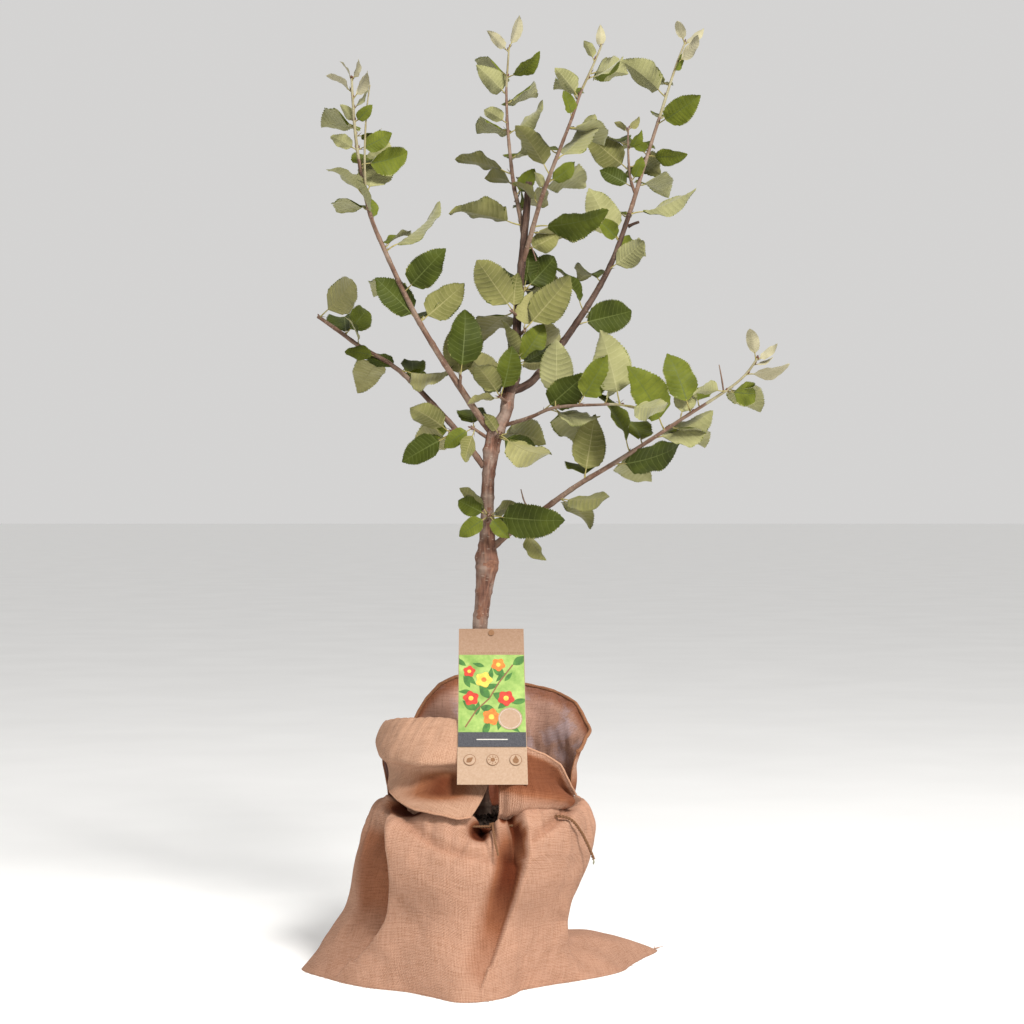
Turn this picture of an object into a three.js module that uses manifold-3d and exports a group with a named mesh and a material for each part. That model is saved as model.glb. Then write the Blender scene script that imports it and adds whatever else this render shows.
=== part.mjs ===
// Sapling with a cloth-wrapped root ball and a hanging tag.
// Millimetres, +Z up, the front faces -Y.
// Origin: on the flat underside of the root ball, straight below the trunk's foot.
import * as THREE from 'three';
import { mergeVertices } from 'three/addons/utils/BufferGeometryUtils.js';
import Module from 'manifold-3d';

const wasm = await Module();
wasm.setup();

const sapling = new THREE.Group();
const degrees = THREE.MathUtils.degToRad;

// Clearance between neighbouring solids, and the shortest edge kept.
const GAP = 0.3;
const SHORTEST = 0.03;

// Places on the plant are written as they stand seen from the front, [x, z, depth],
// and move out along the line of sight with their depth behind the trunk.
const EYE = new THREE.Vector3(35.2, -2600, 509);

// Root ball: flat underside, soil level inside the neck, outline of the foot by angle and radius.
const SOIL_Z = 174;
const FOOT = [
  [-17, 113], [-36, 96], [-60, 96], [-70, 112], [-83, 138], [-97, 151], [-111, 132], [-129, 122],
  [-148, 138], [-172, 167], [-191, 203], [-202, 165], [-217, 130], [-240, 113], [-270, 112],
  [-295, 115], [-310, 136], [-318, 180], [-323, 252], [-333, 207], [-342, 178], [-354, 157], [-372, 134],
];
// Outer wall of the wrapped ball from its foot over the shoulder to the tie: radius and height.
const WALL = [
  [98, 0], [97, 20], [96, 42], [96, 65], [101, 84], [110, 104], [119, 125], [125, 148], [126, 166],
  [120, 180], [111, 187], [103, 183], [98, 177], [96, SOIL_Z],
];
const SHOULDER_FROM = 9;
const SHOULDER_HEIGHT = 13;
const FOOT_RADIUS = 98;
// How high the foot's corners run up the wall and the power they fade with.
const CORNERS = { trailing: { rise: 44, power: 0.75 }, standing: { rise: 165, power: 1.15 } };
// Where the corner lies that trails on the floor.
const TRAILING_AT = { angle: 24, spread: 40, share: 0.35 };
// Local lifts and dips of the shoulder: angle, spread in degrees, height.
const SHOULDER_BUMPS = [
  [-168, 16, 13], [10, 30, 5], [90, 60, 3], [-58, 30, -6], [-84, 6, -5], [-41, 6, -3],
];
// Front pleat: its angle low and high on the wall, the heights between which it swings and fades in.
const PLEAT = { low: -88, high: -66, from: 30, to: 150, spread: 5, depth: 12, fadeIn: [15, 70] };
// Dome: the front falls away below the tie round this angle, between two heights; the rim keeps its place.
const DOME = { angle: -95, spread: 42, depth: 12, from: 105, to: 182, rim: [103, 118] };
const BALL_SEGMENTS = 80;

// Cloth above the tie: radius of its foot and thickness.
const NECK_RADIUS = 88;
const CLOTH = 3;
const NECK_TOP = 179;
// Hem of the back wall: angle, radius, height.
const BACK_HEM = [
  [-17, 112, 250], [5, 121, 268], [15, 122, 275], [27, 119, 295], [45, 119, 305], [65, 117, 312],
  [90, 115, 322], [105, 114, 320], [115, 111, 312], [125, 109, 296], [135, 106, 274], [176, 98, 262],
];
// Hem of the right front flap: angle, radius, height.
const RIGHT_HEM = [
  [-77, 78, 256], [-70, 80, 261], [-58, 95, 258], [-48, 105, 250], [-37, 109, 238], [-28, 112, 214],
  [-22, 112, 203],
];
// The left front flap is turned outward: radius and height from its foot over the roll to the hem.
const LEFT_FLAP = [
  [-180, [86, 210], [90, 250], [102, 280], [114, 258], [110, 243], [102, 233], [99, 222], [98, 212]],
  [-150, [84, 210], [80, 250], [86, 287], [106, 262], [111, 242], [98, 235], [102, 221], [108, 207]],
  [-125, [80, 210], [66, 246], [68, 288], [95, 263], [109, 242], [84, 238], [95, 218], [118, 196]],
  [-98, [78, 210], [58, 244], [58, 284], [73, 263], [84, 243], [66, 235], [88, 212], [117, 188]],
  [-86, [78, 208], [56, 240], [54, 270], [66, 254], [75, 239], [66, 229], [88, 208], [110, 189]],
];

// Tie string round the neck with a knot in front and two loose ends.
const STRING = { radius: 1.3, ring: 94, z: SOIL_Z + GAP + 1.3, knot: 3.6, knotAngle: -81 };
const LONG_END = [
  [64, -67, 176.5], [74, -74, 182.5], [87, -79, 184.5], [99, -78, 180], [109, -72, 167], [117, -66, 151],
  [123, -60, 136],
];
const SHORT_END = [[14.5, -92, 179], [16, -104, 183.5], [17, -124, 178], [18, -131, 166], [18, -134, 146]];

// Tag: a card that hangs by a loop round the trunk and leans on the cloth.
const TAG = {
  top: { left: -22.9, right: 47.8, y: -12, z: 381 },
  bottom: { left: -22.9, right: 52.1, y: -104, z: 221 },
  thickness: 0.8,
  loop: 10.5,
  cord: 0.9,
  loopAt: [0.4, -1.3, 379],
};

// Trunk and leader in one: places [x, z, depth] and diameters.
const TRUNK = {
  places: [
    [0, SOIL_Z + GAP, 0], [0, 205, 0], [-1, 300, 0], [0, 381, 0], [2, 401, 0], [5, 430, 0], [8, 455, 0],
    [8, 480, 0], [8, 511, 0], [9, 544, 0], [13, 580, 0], [17, 597, 0], [28, 617, 0], [31, 638, 0],
    [35, 656, 0], [39, 687, 0], [42, 735, 0], [46, 784, 0], [50, 828, 0], [54, 872, 0],
  ],
  diameters: [25, 19, 16.5, 16, 16, 19, 23, 17.5, 14, 14, 17, 18, 13, 14, 16, 10, 8.8, 8.3, 8, 7.4],
  sides: 10,
};

// Leaves of the whole plant.
const LEAF = {
  bladeShare: 0.8,
  longest: 86,
  widthRatio: 0.62,
  youngRatio: 0.42,
  thickness: 1.3,
  fold: 0.22,
  curl: [15.6, 36.4],
  lean: 34,
  petiole: 0.85,
  spiral: 144,
};
// Shoots longer than this and not cut short end in young, narrow leaves past this share of their length.
const YOUNG = { length: 150, from: 0.86 };
// Leaves that grow away from the front: first place past a bare bough and past the middle of the limb
// a spur stands on, last place as a share of the shoot, least value and spread of heading, lean, reach.
const FAR = {
  first: 6,
  clear: 20,
  last: 0.93,
  heading: [35, 40],
  lean: [48, 22],
  reach: [33, 10],
  turn: 40,
};
const FAR_SIDE = new THREE.Vector3(0, 0.6, 0.8);
// Changes of lean tried, in degrees, before a leaf that would touch a neighbour is left out.
const LEANS_TRIED = [0, 14, -14, 28, -28, 44, -44, 60, -60];
// How far a leaf's foot stays from the ends of its stem, so that it is sunk in.
const SUNK = 2.5;
// Blade outline: share of its length and of its half width.
const LEAF_SECTIONS = [[0.2, 0.8], [0.62, 0.88]];
// Length of one ring of faces and number of sides of the limbs.
const BOUGH = { ring: 14, sides: 8 };
const STEM = { ring: 28, sides: 4, spurSides: 5 };
// Half the length over which a limb's direction is taken.
const AHEAD = 3;

// Shoots: a bare bough from a parent limb, then the leafy stem that grows on from its tip.
// A leaf row reads: place along the shoot (its x on flat shoots, z on steep ones), heading,
// reach from foot to tip, and turn of the blade, 0 with its upper face to the front.
const SHOOTS = [
  {
    name: 'left', by: 'z', bare: 118, diameters: [7.8, 2.6], far: 6,
    places: [
      [12, 597, 0], [0, 613, -4], [-20, 643, -10], [-55, 698, -24], [-77, 737, -38], [-104, 795, -55],
      [-122, 840, -68], [-135, 907, -84], [-140, 962, -94], [-141, 986, -98],
    ],
    leaves: [
      [715, 133, 65, 20], [720, 43, 60, 180], [757, 43, 58, 8], [797, 35, 80, 106], [826, 90, 30, 35],
      [828, 106, 56, 95], [856, 73, 65, 178], [862, 134, 49, 118], [889, 13, 58, 35], [905, 24, 42, 25],
      [911, 150, 32, 150], [918, 6, 30, 75], [930, 37, 24, 20], [943, 121, 24, 150], [950, 52, 32, 120],
      [964, 51, 36, 150], [973, 134, 35, 110], [984, 62, 24, 140], [985, 112, 26, 100],
    ],
  },
  {
    name: 'low_left', by: 'x', bare: 96, diameters: [7, 4.2], far: 3, isCut: true,
    places: [
      [4, 559, 0], [-17, 588, 8], [-44, 619, 20], [-88, 664, 42], [-132, 691, 64], [-154, 707, 76],
      [-178, 724, 88],
    ],
    leaves: [
      [-84, -18, 34, 20], [-87, -12, 66, 125], [-90, 149, 50, 55], [-110, 165, 40, 30], [-129, 104, 36, 85],
      [-150, 52, 48, 15], [-176, 40, 66, 172],
    ],
  },
  {
    name: 'low_right', by: 'x', bare: 76, diameters: [7.4, 2.3], far: 7,
    places: [
      [10, 466, 0], [35, 488, -8], [66, 509, -20], [105, 537, -36], [143, 560, -50], [187, 588, -66],
      [220, 610, -78], [270, 642, -94], [292, 660, -100], [305, 678, -104],
    ],
    leaves: [
      [83, -4, 58, 125], [113, 80, 70, 178], [141, 8, 84, 40], [168, 106, 72, 68], [188, 16, 74, 128],
      [203, 115, 72, 30], [216, 75, 46, 176], [231, 108, 70, 15], [266, 176, 40, 135], [267, -5, 46, 15],
      [294, 1, 43, 60], [301, 15, 24, 120], [303, 32, 30, 150], [304, 101, 38, 165],
    ],
  },
  {
    name: 'right', by: 'z', bare: 106, diameters: [9, 2.2], far: 8,
    places: [
      [33, 641, 0], [52, 649, 8], [66, 663, 14], [105, 715, 36], [141, 775, 56], [164, 836, 72],
      [179, 885, 84], [200, 951, 98], [216, 1001, 106], [226, 1026, 110],
    ],
    leaves: [
      [722, 15, 72, 5], [733, 112, 63, 60], [773, 36, 54, 175], [796, 40, 38, 10], [800, 135, 34, 15],
      [805, 118, 70, 178], [829, 11, 82, 112], [893, -7, 44, 45], [905, 121, 27, 20], [932, 28, 52, 25],
      [962, 130, 66, 128], [985, 60, 26, 60], [1000, 42, 41, 140], [1022, 39, 31, 150],
      [1025, 110, 29, 160],
    ],
  },
  {
    name: 'right_side', by: 'z', bare: 0, diameters: [3.4, 1.9], far: 2,
    places: [[171, 858, 78], [165, 878, 74], [163, 907, 68], [163, 931, 64]],
    leaves: [
      [868, 150, 43, 15], [872, 60, 30, 30], [887, 135, 59, 170], [906, 47, 24, 40], [927, 130, 19, 120],
      [929, 45, 20, 150],
    ],
  },
  {
    name: 'upper_left', by: 'z', bare: 0, diameters: [5.4, 2], far: 6,
    places: [
      [49, 806, 0], [42, 846, 10], [37, 869, 18], [31, 924, 34], [29, 968, 44], [30, 992, 48],
      [32, 1020, 52],
    ],
    leaves: [
      [826, 165, 82, 124], [840, 83, 46, 78], [858, 53, 35, 10], [877, 153, 67, 100], [925, 32, 54, 130],
      [936, 146, 32, 150], [966, 128, 44, 160], [987, 18, 42, 72], [1015, 131, 34, 165], [1018, 68, 40, 150],
    ],
  },
  {
    name: 'upper_right', by: 'z', bare: 0, diameters: [6, 2], far: 7,
    places: [
      [47, 784, 0], [56, 814, -10], [66, 849, -22], [77, 880, -34], [101, 942, -56], [111, 971, -64],
      [123, 997, -70], [134, 1023, -74],
    ],
    leaves: [
      [800, 28, 42, 160], [825, 1, 80, 62], [863, 111, 22, 150], [872, 31, 41, 30], [883, 121, 64, 132],
      [896, 42, 69, 125], [942, 102, 27, 30], [962, 121, 41, 145], [984, 23, 48, 82], [1004, 113, 26, 150],
      [1020, 85, 26, 160],
    ],
  },
  {
    name: 'centre_right', by: 'x', bare: 34, diameters: [4.6, 2.2], far: 2,
    places: [
      [26, 604, 0], [55, 613, -24], [83, 624, -44], [132, 627, -78], [154, 627, -92], [176, 622, -104],
    ],
    leaves: [
      [66, 39, 60, 10], [78, -17, 58, 105], [81, 88, 74, 170], [113, 58, 60, 12], [154, 100, 76, 165],
      [160, -10, 48, 150],
    ],
  },
];

// Short spurs that carry a cluster of leaves straight on a limb.
const SPURS = [
  {
    name: 'spur_left', by: 'z', far: 0, diameters: [4, 3],
    places: [[-20, 640, -10], [-22, 650, -16], [-21, 658, -20]],
    leaves: [[652, 94, 66, 176], [655, 84, 80, 12]],
  },
  {
    name: 'spur_low_left', by: 'z', far: 1, diameters: [4, 3],
    places: [[-28, 602, 14], [-32, 596, 2], [-35, 592, -6]],
    leaves: [[592, 208, 60, 12], [595, 142, 56, 150], [600, 185, 30, 20]],
  },
  {
    name: 'spur_trunk_left', by: 'x', far: 1, diameters: [4.4, 3.2],
    places: [[12, 588, 0], [0, 596, -4], [-10, 603, -8]],
    leaves: [[-4, 250, 40, 150], [-9, 210, 38, 20]],
  },
  {
    name: 'spur_fork', by: 'z', far: 1, diameters: [4.4, 3.2],
    places: [[16, 590, 0], [19, 592, -12], [22, 596, -20]],
    leaves: [[593, -22, 48, 12], [594, -35, 70, 140], [594, 119, 27, 150]],
  },
  {
    name: 'spur_leader_low', by: 'z', far: 2, diameters: [4.4, 3],
    places: [[30, 628, 0], [26, 632, -12], [22, 636, -22]],
    leaves: [[634, 125, 48, 155], [635, 122, 62, 150], [636, 75, 56, 20]],
  },
  {
    name: 'spur_leader_mid', by: 'z', far: 2, diameters: [4.4, 3],
    places: [[36, 664, 0], [38, 668, -10], [41, 672, -18]],
    leaves: [[667, 100, 54, 118], [669, 52, 60, 20], [672, 20, 46, 60]],
  },
  {
    name: 'spur_leader_right', by: 'z', far: 2, diameters: [4.2, 3],
    places: [[41, 702, 0], [45, 705, -10], [49, 709, -20]],
    leaves: [[707, 48, 80, 172]],
  },
  {
    name: 'spur_leader_left', by: 'z', far: 2, diameters: [4.2, 3],
    places: [[42, 722, 0], [39, 726, -10], [35, 730, -18]],
    leaves: [[727, 126, 74, 176]],
  },
  {
    name: 'spur_leader_top', by: 'z', far: 3, diameters: [4.2, 3],
    places: [[44, 748, 0], [47, 751, 10], [50, 755, 20]],
    leaves: [[752, 47, 62, 10], [754, 80, 50, 20]],
  },
  {
    name: 'spur_stem', by: 'z', far: 2, diameters: [4.4, 3.2],
    places: [[8, 500, 0], [9, 503, -14], [10, 506, -26]],
    leaves: [
      [504, -6, 80, 22], [505, 152, 42, 5], [505, 213, 40, 12], [506, -50, 32, 8], [506, -33, 40, 30],
    ],
  },
  {
    name: 'spur_low_right', by: 'z', far: 0, diameters: [3.4, 2.8],
    places: [[45, 496, -12], [47, 491, -17], [48, 487, -20]],
    leaves: [[488, -59, 40, 140]],
  },
];

// Seeded numbers from 0 to 1.
function seeded(seed) {
  let state = seed;
  return () => {
    state = (state * 16807) % 2147483647;
    return state / 2147483647;
  };
}

function material(color, roughness, metalness = 0) {
  return new THREE.MeshStandardMaterial({ color, roughness, metalness });
}

const bark = material(0x8a6a5a, 0.8);
const foliage = material(0x55652c, 0.6);
const jute = material(0xc0926c, 0.95);
const twine = material(0x8d8166, 0.9);
const card = material(0xd9b08c, 0.7);

// A closed geometry as a solid: seam vertices merged, empty faces dropped, faces pointing out.
function solidOf(geometry) {
  geometry.deleteAttribute('normal');
  geometry.deleteAttribute('uv');
  const merged = mergeVertices(geometry, 1e-3);
  const at = merged.attributes.position.array;
  const index = merged.index.array;
  const faces = [];
  let volume = 0;
  for (let i = 0; i < index.length; i += 3) {
    const [a, b, c] = [index[i], index[i + 1], index[i + 2]];
    if (a === b || b === c || c === a) continue;
    faces.push(a, b, c);
    const [p, q, r] = [a, b, c].map((k) => new THREE.Vector3().fromArray(at, 3 * k));
    volume += p.dot(q.cross(r));
  }
  if (volume < 0) faces.reverse();
  const mesh = new wasm.Mesh({
    numProp: 3,
    vertProperties: new Float32Array(at),
    triVerts: new Uint32Array(faces),
  });
  return new wasm.Manifold(mesh);
}

// Each vertex of a plain form moved to its place.
function shaped(geometry, place) {
  const position = geometry.attributes.position;
  const v = new THREE.Vector3();
  for (let i = 0; i < position.count; i++) {
    v.fromBufferAttribute(position, i);
    const p = place(v, i);
    position.setXYZ(i, p.x, p.y, p.z);
  }
  return geometry;
}

// The largest connected body of a solid.
function mainBody(solid) {
  return solid.decompose().sort((a, b) => b.volume() - a.volume())[0];
}

function addNode(name, solid, look) {
  const { vertProperties, triVerts } = mainBody(solid.simplify(SHORTEST)).getMesh();
  const geometry = new THREE.BufferGeometry();
  geometry.setAttribute('position', new THREE.BufferAttribute(vertProperties, 3));
  geometry.setIndex(new THREE.BufferAttribute(triVerts, 1));
  geometry.computeVertexNormals();
  const mesh = new THREE.Mesh(geometry, look);
  mesh.name = name;
  sapling.add(mesh);
}

function between(a, b, t) {
  return a + (b - a) * t;
}

// Value of a table [key, ...values] at a key, its rows in order of rising or falling key.
function lookUp(table, key, column) {
  const rising = table[0][0] < table[table.length - 1][0];
  const rows = rising ? table : [...table].reverse();
  if (key <= rows[0][0]) return rows[0][column];
  for (let i = 1; i < rows.length; i++) {
    if (key <= rows[i][0]) {
      const t = (key - rows[i - 1][0]) / (rows[i][0] - rows[i - 1][0]);
      return between(rows[i - 1][column], rows[i][column], t);
    }
  }
  return rows[rows.length - 1][column];
}

// Catmull-Rom value between b and c.
function smooth(a, b, c, d, t) {
  return b + 0.5 * t * (c - a + t * (2 * a - 5 * b + 4 * c - d + t * (3 * (b - c) + d - a)));
}

// A smooth line through rows of numbers, each stretch in the same number of steps.
function smoothLine(rows, steps) {
  const line = [];
  for (let i = 0; i < rows.length - 1; i++) {
    const [a, d] = [rows[Math.max(i - 1, 0)], rows[Math.min(i + 2, rows.length - 1)]];
    for (let k = 0; k < steps; k++) {
      line.push(rows[i].map((b, n) => smooth(a[n], b, rows[i + 1][n], d[n], k / steps)));
    }
  }
  line.push([...rows[rows.length - 1]]);
  return line;
}

function seen([x, z, depth]) {
  const k = (depth - EYE.y) / -EYE.y;
  return new THREE.Vector3(EYE.x + (x - EYE.x) * k, depth, EYE.z + (z - EYE.z) * k);
}

// The route of a limb: places in space, places as seen, and the distance run at each.
function routeOf(rows, steps) {
  const front = smoothLine(rows, steps);
  const points = front.map(seen);
  const run = [0];
  for (let i = 1; i < points.length; i++) run.push(run[i - 1] + points[i].distanceTo(points[i - 1]));
  return { front, points, run, length: run[run.length - 1] };
}

function pointAt(route, distance) {
  const s = THREE.MathUtils.clamp(distance, 0, route.length);
  let i = 1;
  while (i < route.run.length - 1 && route.run[i] < s) i++;
  const t = (s - route.run[i - 1]) / (route.run[i] - route.run[i - 1]);
  return new THREE.Vector3().lerpVectors(route.points[i - 1], route.points[i], t);
}

function directionAt(route, distance) {
  const ahead = pointAt(route, Math.min(distance + AHEAD, route.length));
  return ahead.sub(pointAt(route, Math.max(distance - AHEAD, 0))).normalize();
}

// A round limb along part of a route: a cylinder laid on it, its radius by the distance run.
function limb(route, from, to, radius, sides, rings) {
  const form = new THREE.CylinderGeometry(1, 1, 1, sides, rings);
  return solidOf(shaped(form, (v) => {
    const distance = between(from, to, v.y + 0.5);
    const along = directionAt(route, distance);
    const side = new THREE.Vector3(0, 1, 0).addScaledVector(along, -along.y).normalize();
    const across = new THREE.Vector3().crossVectors(along, side);
    const r = radius(distance);
    return pointAt(route, distance).addScaledVector(side, v.x * r).addScaledVector(across, v.z * r);
  }));
}

// A leaf with its petiole: heading and turn from its row, lean from the five-rank spiral.
function leaf(foot, heading, reach, turn, lean, ratio, random, outward) {
  const steep = Math.acos(Math.min(1, reach / LEAF.longest));
  const tilt = THREE.MathUtils.clamp(degrees(lean), -steep, steep);
  const h = degrees(heading);
  const flat = Math.cos(tilt);
  const along = new THREE.Vector3(Math.cos(h) * flat, -Math.sin(tilt), Math.sin(h) * flat);
  const hint = outward ?? new THREE.Vector3(0, -1, 0);
  const up = hint.clone().addScaledVector(along, -hint.dot(along)).normalize();
  up.applyAxisAngle(along, degrees(turn));
  const across = new THREE.Vector3().crossVectors(along, up);
  const whole = reach / flat;
  const blade = whole * LEAF.bladeShare;
  const stalk = whole - blade;
  const curl = degrees(between(...LEAF.curl, random()));
  const half = (blade * ratio) / 2;
  const thin = LEAF.petiole / half;
  const profile = [[0, 0], [thin, 0.01 * whole], [thin, stalk]];
  LEAF_SECTIONS.forEach(([t, width]) => profile.push([width, stalk + t * blade]));
  profile.push([0, whole]);
  const form = new THREE.LatheGeometry(profile.map(([x, y]) => new THREE.Vector2(x, y)), 4);
  return solidOf(shaped(form, (v) => {
    const past = Math.max(0, v.y - stalk);
    const bend = (curl * past) / (2 * blade);
    const side = Math.abs(v.z) > 1e-6 ? Math.sign(v.z) : 0;
    const rise = LEAF.fold * Math.abs(v.x) * half + (side * LEAF.thickness) / 2;
    return foot.clone()
      .addScaledVector(along, v.y - past + past * Math.cos(bend))
      .addScaledVector(up, rise - past * Math.sin(bend))
      .addScaledVector(across, v.x * half);
  }));
}

// Limbs, leafy stems and finished clusters, against which the next pieces are kept clear.
const limbs = {};
const stems = {};
const clusters = [];

function isClear(solid, ownName) {
  const leafy = Object.entries(stems).filter(([name]) => name !== ownName).map(([, stem]) => stem);
  const others = [...Object.values(limbs), ...leafy].map((other) => other.solid);
  return [...others, ...clusters].every((other) => solid.minGap(other, GAP) >= GAP);
}

function taper([first, last], route) {
  return (distance) => between(first, last, distance / route.length) / 2;
}

// The stem that carries the leaves of a shoot or spur, cut clear of the limb it grows from.
function growStem({ shoot, route, from }) {
  const rings = Math.max(2, Math.round((route.length - from) / STEM.ring));
  const radius = taper(shoot.diameters, route);
  const sides = shoot.isSpur ? STEM.spurSides : STEM.sides;
  let solid = limb(route, from, route.length, radius, sides, rings);
  const others = [...Object.values(limbs), ...Object.values(stems)];
  others.forEach((other) => { solid = solid.subtract(other.wide); });
  const wide = limb(route, from, route.length, (s) => radius(s) + GAP, sides, rings);
  stems[shoot.name] = { solid: mainBody(solid), wide };
}

// The leaves of a shoot or spur: those seen from the front by row, those behind by rule.
function growLeaves({ shoot, route, from }, seed) {
  const random = seeded(seed);
  const pieces = [stems[shoot.name].solid];
  const column = shoot.by === 'x' ? 0 : 1;
  const place = (at) => {
    let best = 0;
    route.front.forEach((row, i) => {
      if (Math.abs(row[column] - at) < Math.abs(route.front[best][column] - at)) best = i;
    });
    return THREE.MathUtils.clamp(route.run[best], from + SUNK, route.length - SUNK);
  };
  const grow = (distance, heading, reach, turn, lean, outward) => {
    const isLong = route.length > YOUNG.length && !shoot.isCut;
    const young = isLong ? THREE.MathUtils.smoothstep(distance / route.length, YOUNG.from, 1) : 0;
    const ratio = between(LEAF.widthRatio, LEAF.youngRatio, young);
    const solid = leaf(pointAt(route, distance), heading, reach, turn, lean, ratio, random, outward);
    const fits = isClear(solid, shoot.name);
    if (fits) pieces.push(solid);
    return fits;
  };
  shoot.leaves.forEach(([at, heading, reach, turn], k) => {
    const lean = LEAF.lean * Math.sin(degrees(LEAF.spiral * (k + seed)));
    LEANS_TRIED.some((more) => grow(place(at), heading, reach, turn, lean + more));
  });
  for (let k = 0; k < shoot.far; k++) {
    const first = Math.max(from + FAR.first, Math.min(0.75 * route.length, FAR.clear));
    const distance = between(first, FAR.last * route.length, (k + 0.5) / shoot.far);
    const along = directionAt(route, distance);
    const side = k % 2 ? 1 : -1;
    const aside = side * (FAR.heading[0] + FAR.heading[1] * random());
    const heading = THREE.MathUtils.radToDeg(Math.atan2(along.z, along.x)) + aside;
    const lean = -(FAR.lean[0] + FAR.lean[1] * random());
    const reach = FAR.reach[0] + FAR.reach[1] * random();
    const turn = FAR.turn * (random() - 0.5);
    LEANS_TRIED.some((more) => grow(distance, heading, reach, turn, lean + more, FAR_SIDE));
  }
  const joined = mainBody(wasm.Manifold.union(pieces));
  clusters.push(joined);
  addNode(`leaves_${shoot.name}`, joined, foliage);
}

function addLimb(name, route, from, to, radius, sides, rings) {
  const wide = limb(route, from - 1, to + GAP, (s) => radius(s) + GAP, sides, rings);
  let solid = limb(route, from, to, radius, sides, rings);
  Object.values(limbs).forEach((other) => { solid = solid.subtract(other.wide); });
  limbs[name] = { solid: mainBody(solid), wide };
  addNode(name, solid, bark);
}

function makeTrunk() {
  const route = routeOf(TRUNK.places, 3);
  const reached = TRUNK.places.map((_, i) => route.run[3 * i]);
  const table = TRUNK.diameters.map((diameter, i) => [reached[i], diameter / 2]);
  addLimb('trunk', route, 0, route.length, (s) => lookUp(table, s, 1), TRUNK.sides, 34);
}

function makeShoots() {
  const grown = SHOOTS.map((shoot) => ({ shoot, route: routeOf(shoot.places, 4) }));
  grown.filter(({ shoot }) => shoot.bare).forEach(({ shoot, route }) => {
    const rings = Math.round(shoot.bare / BOUGH.ring);
    addLimb(`bough_${shoot.name}`, route, 0, shoot.bare, taper(shoot.diameters, route), BOUGH.sides, rings);
  });
  const leafy = grown.map((row) => ({ ...row, from: row.shoot.bare ? row.shoot.bare + GAP : 0 }));
  SPURS.forEach((spur) => {
    leafy.push({ shoot: { ...spur, isSpur: true }, route: routeOf(spur.places, 2), from: 0 });
  });
  leafy.forEach(growStem);
  leafy.forEach((row, k) => growLeaves(row, 11 + k));
}

// Wrapped root ball
function turned(angle, from) {
  return from - ((((from - angle) % 360) + 360) % 360);
}

function bump(angle, centre, spread) {
  const away = ((((angle - centre) % 360) + 540) % 360) - 180;
  return Math.exp(-((away / spread) ** 2));
}

function ballRadius(angle, radius, z) {
  const foot = lookUp(FOOT, turned(angle, FOOT[0][0]), 1);
  const isTrailing = bump(angle, TRAILING_AT.angle, TRAILING_AT.spread) > TRAILING_AT.share;
  const { rise, power } = isTrailing ? CORNERS.trailing : CORNERS.standing;
  const corner = (foot - FOOT_RADIUS) * Math.max(0, 1 - z / rise) ** power;
  const swing = THREE.MathUtils.clamp((z - PLEAT.from) / (PLEAT.to - PLEAT.from), 0, 1);
  const middle = between(PLEAT.low, PLEAT.high, swing);
  const fade = THREE.MathUtils.smoothstep(z, ...PLEAT.fadeIn);
  const pleat = PLEAT.depth * bump(angle, middle, PLEAT.spread) * fade;
  const fall = THREE.MathUtils.smoothstep(z, DOME.from, DOME.to)
    * THREE.MathUtils.smoothstep(radius, ...DOME.rim);
  return radius + corner - pleat - DOME.depth * bump(angle, DOME.angle, DOME.spread) * fall;
}

function makeRootBall() {
  const profile = [new THREE.Vector2(0, 0)];
  WALL.forEach(([r, z]) => profile.push(new THREE.Vector2(r, z)));
  profile.push(new THREE.Vector2(0, SOIL_Z));
  const form = new THREE.LatheGeometry(profile, BALL_SEGMENTS);
  const rows = profile.length;
  const ball = solidOf(shaped(form, (v, i) => {
    const row = i % rows;
    const angle = 360 * (Math.floor(i / rows) / BALL_SEGMENTS);
    if (row === 0 || row === rows - 1) return new THREE.Vector3(0, 0, v.y);
    const [r, z] = WALL[row - 1];
    const share = row > SHOULDER_FROM ? THREE.MathUtils.clamp((z - SOIL_Z) / SHOULDER_HEIGHT, 0, 1) : 0;
    const bumps = SHOULDER_BUMPS.map(([at, spread, height]) => height * bump(angle, at, spread));
    const lift = share * bumps.reduce((sum, height) => sum + height, 0);
    const outer = row < WALL.length - 1 ? ballRadius(angle, r, z) : r;
    const a = degrees(angle);
    return new THREE.Vector3(outer * Math.cos(a), outer * Math.sin(a), z + lift);
  }));
  addNode('root_ball', ball, jute);
}

// Cloth flaps above the tie: a flat slab bent round the neck, its section by the angle.
function flap(name, fromAngle, toAngle, section, columns, rows) {
  const form = new THREE.BoxGeometry(1, 1, 1, columns, rows, 1);
  const solid = solidOf(shaped(form, (v) => {
    const angle = between(fromAngle, toAngle, v.x + 0.5);
    const line = smoothLine(section(angle), 6);
    const s = (v.y + 0.5) * (line.length - 1);
    const i = Math.min(Math.floor(s), line.length - 2);
    const [a, b] = [line[i], line[i + 1]];
    const [dr, dz] = [b[0] - a[0], b[1] - a[1]];
    const step = Math.hypot(dr, dz);
    const r = between(a[0], b[0], s - i) + (v.z * CLOTH * dz) / step;
    const z = between(a[1], b[1], s - i) - (v.z * CLOTH * dr) / step;
    const turn = degrees(angle);
    return new THREE.Vector3(r * Math.cos(turn), r * Math.sin(turn), Math.max(z, SOIL_Z + GAP));
  }));
  addNode(name, solid, jute);
}

function backSection(angle) {
  const [hemRadius, hemZ] = [lookUp(BACK_HEM, angle, 1), lookUp(BACK_HEM, angle, 2)];
  const height = hemZ - NECK_TOP;
  return [
    [NECK_RADIUS, SOIL_Z + GAP], [NECK_RADIUS, NECK_TOP], [100, NECK_TOP + 0.16 * height],
    [104, NECK_TOP + 0.42 * height], [106, NECK_TOP + 0.72 * height], [hemRadius, hemZ],
  ];
}

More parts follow.
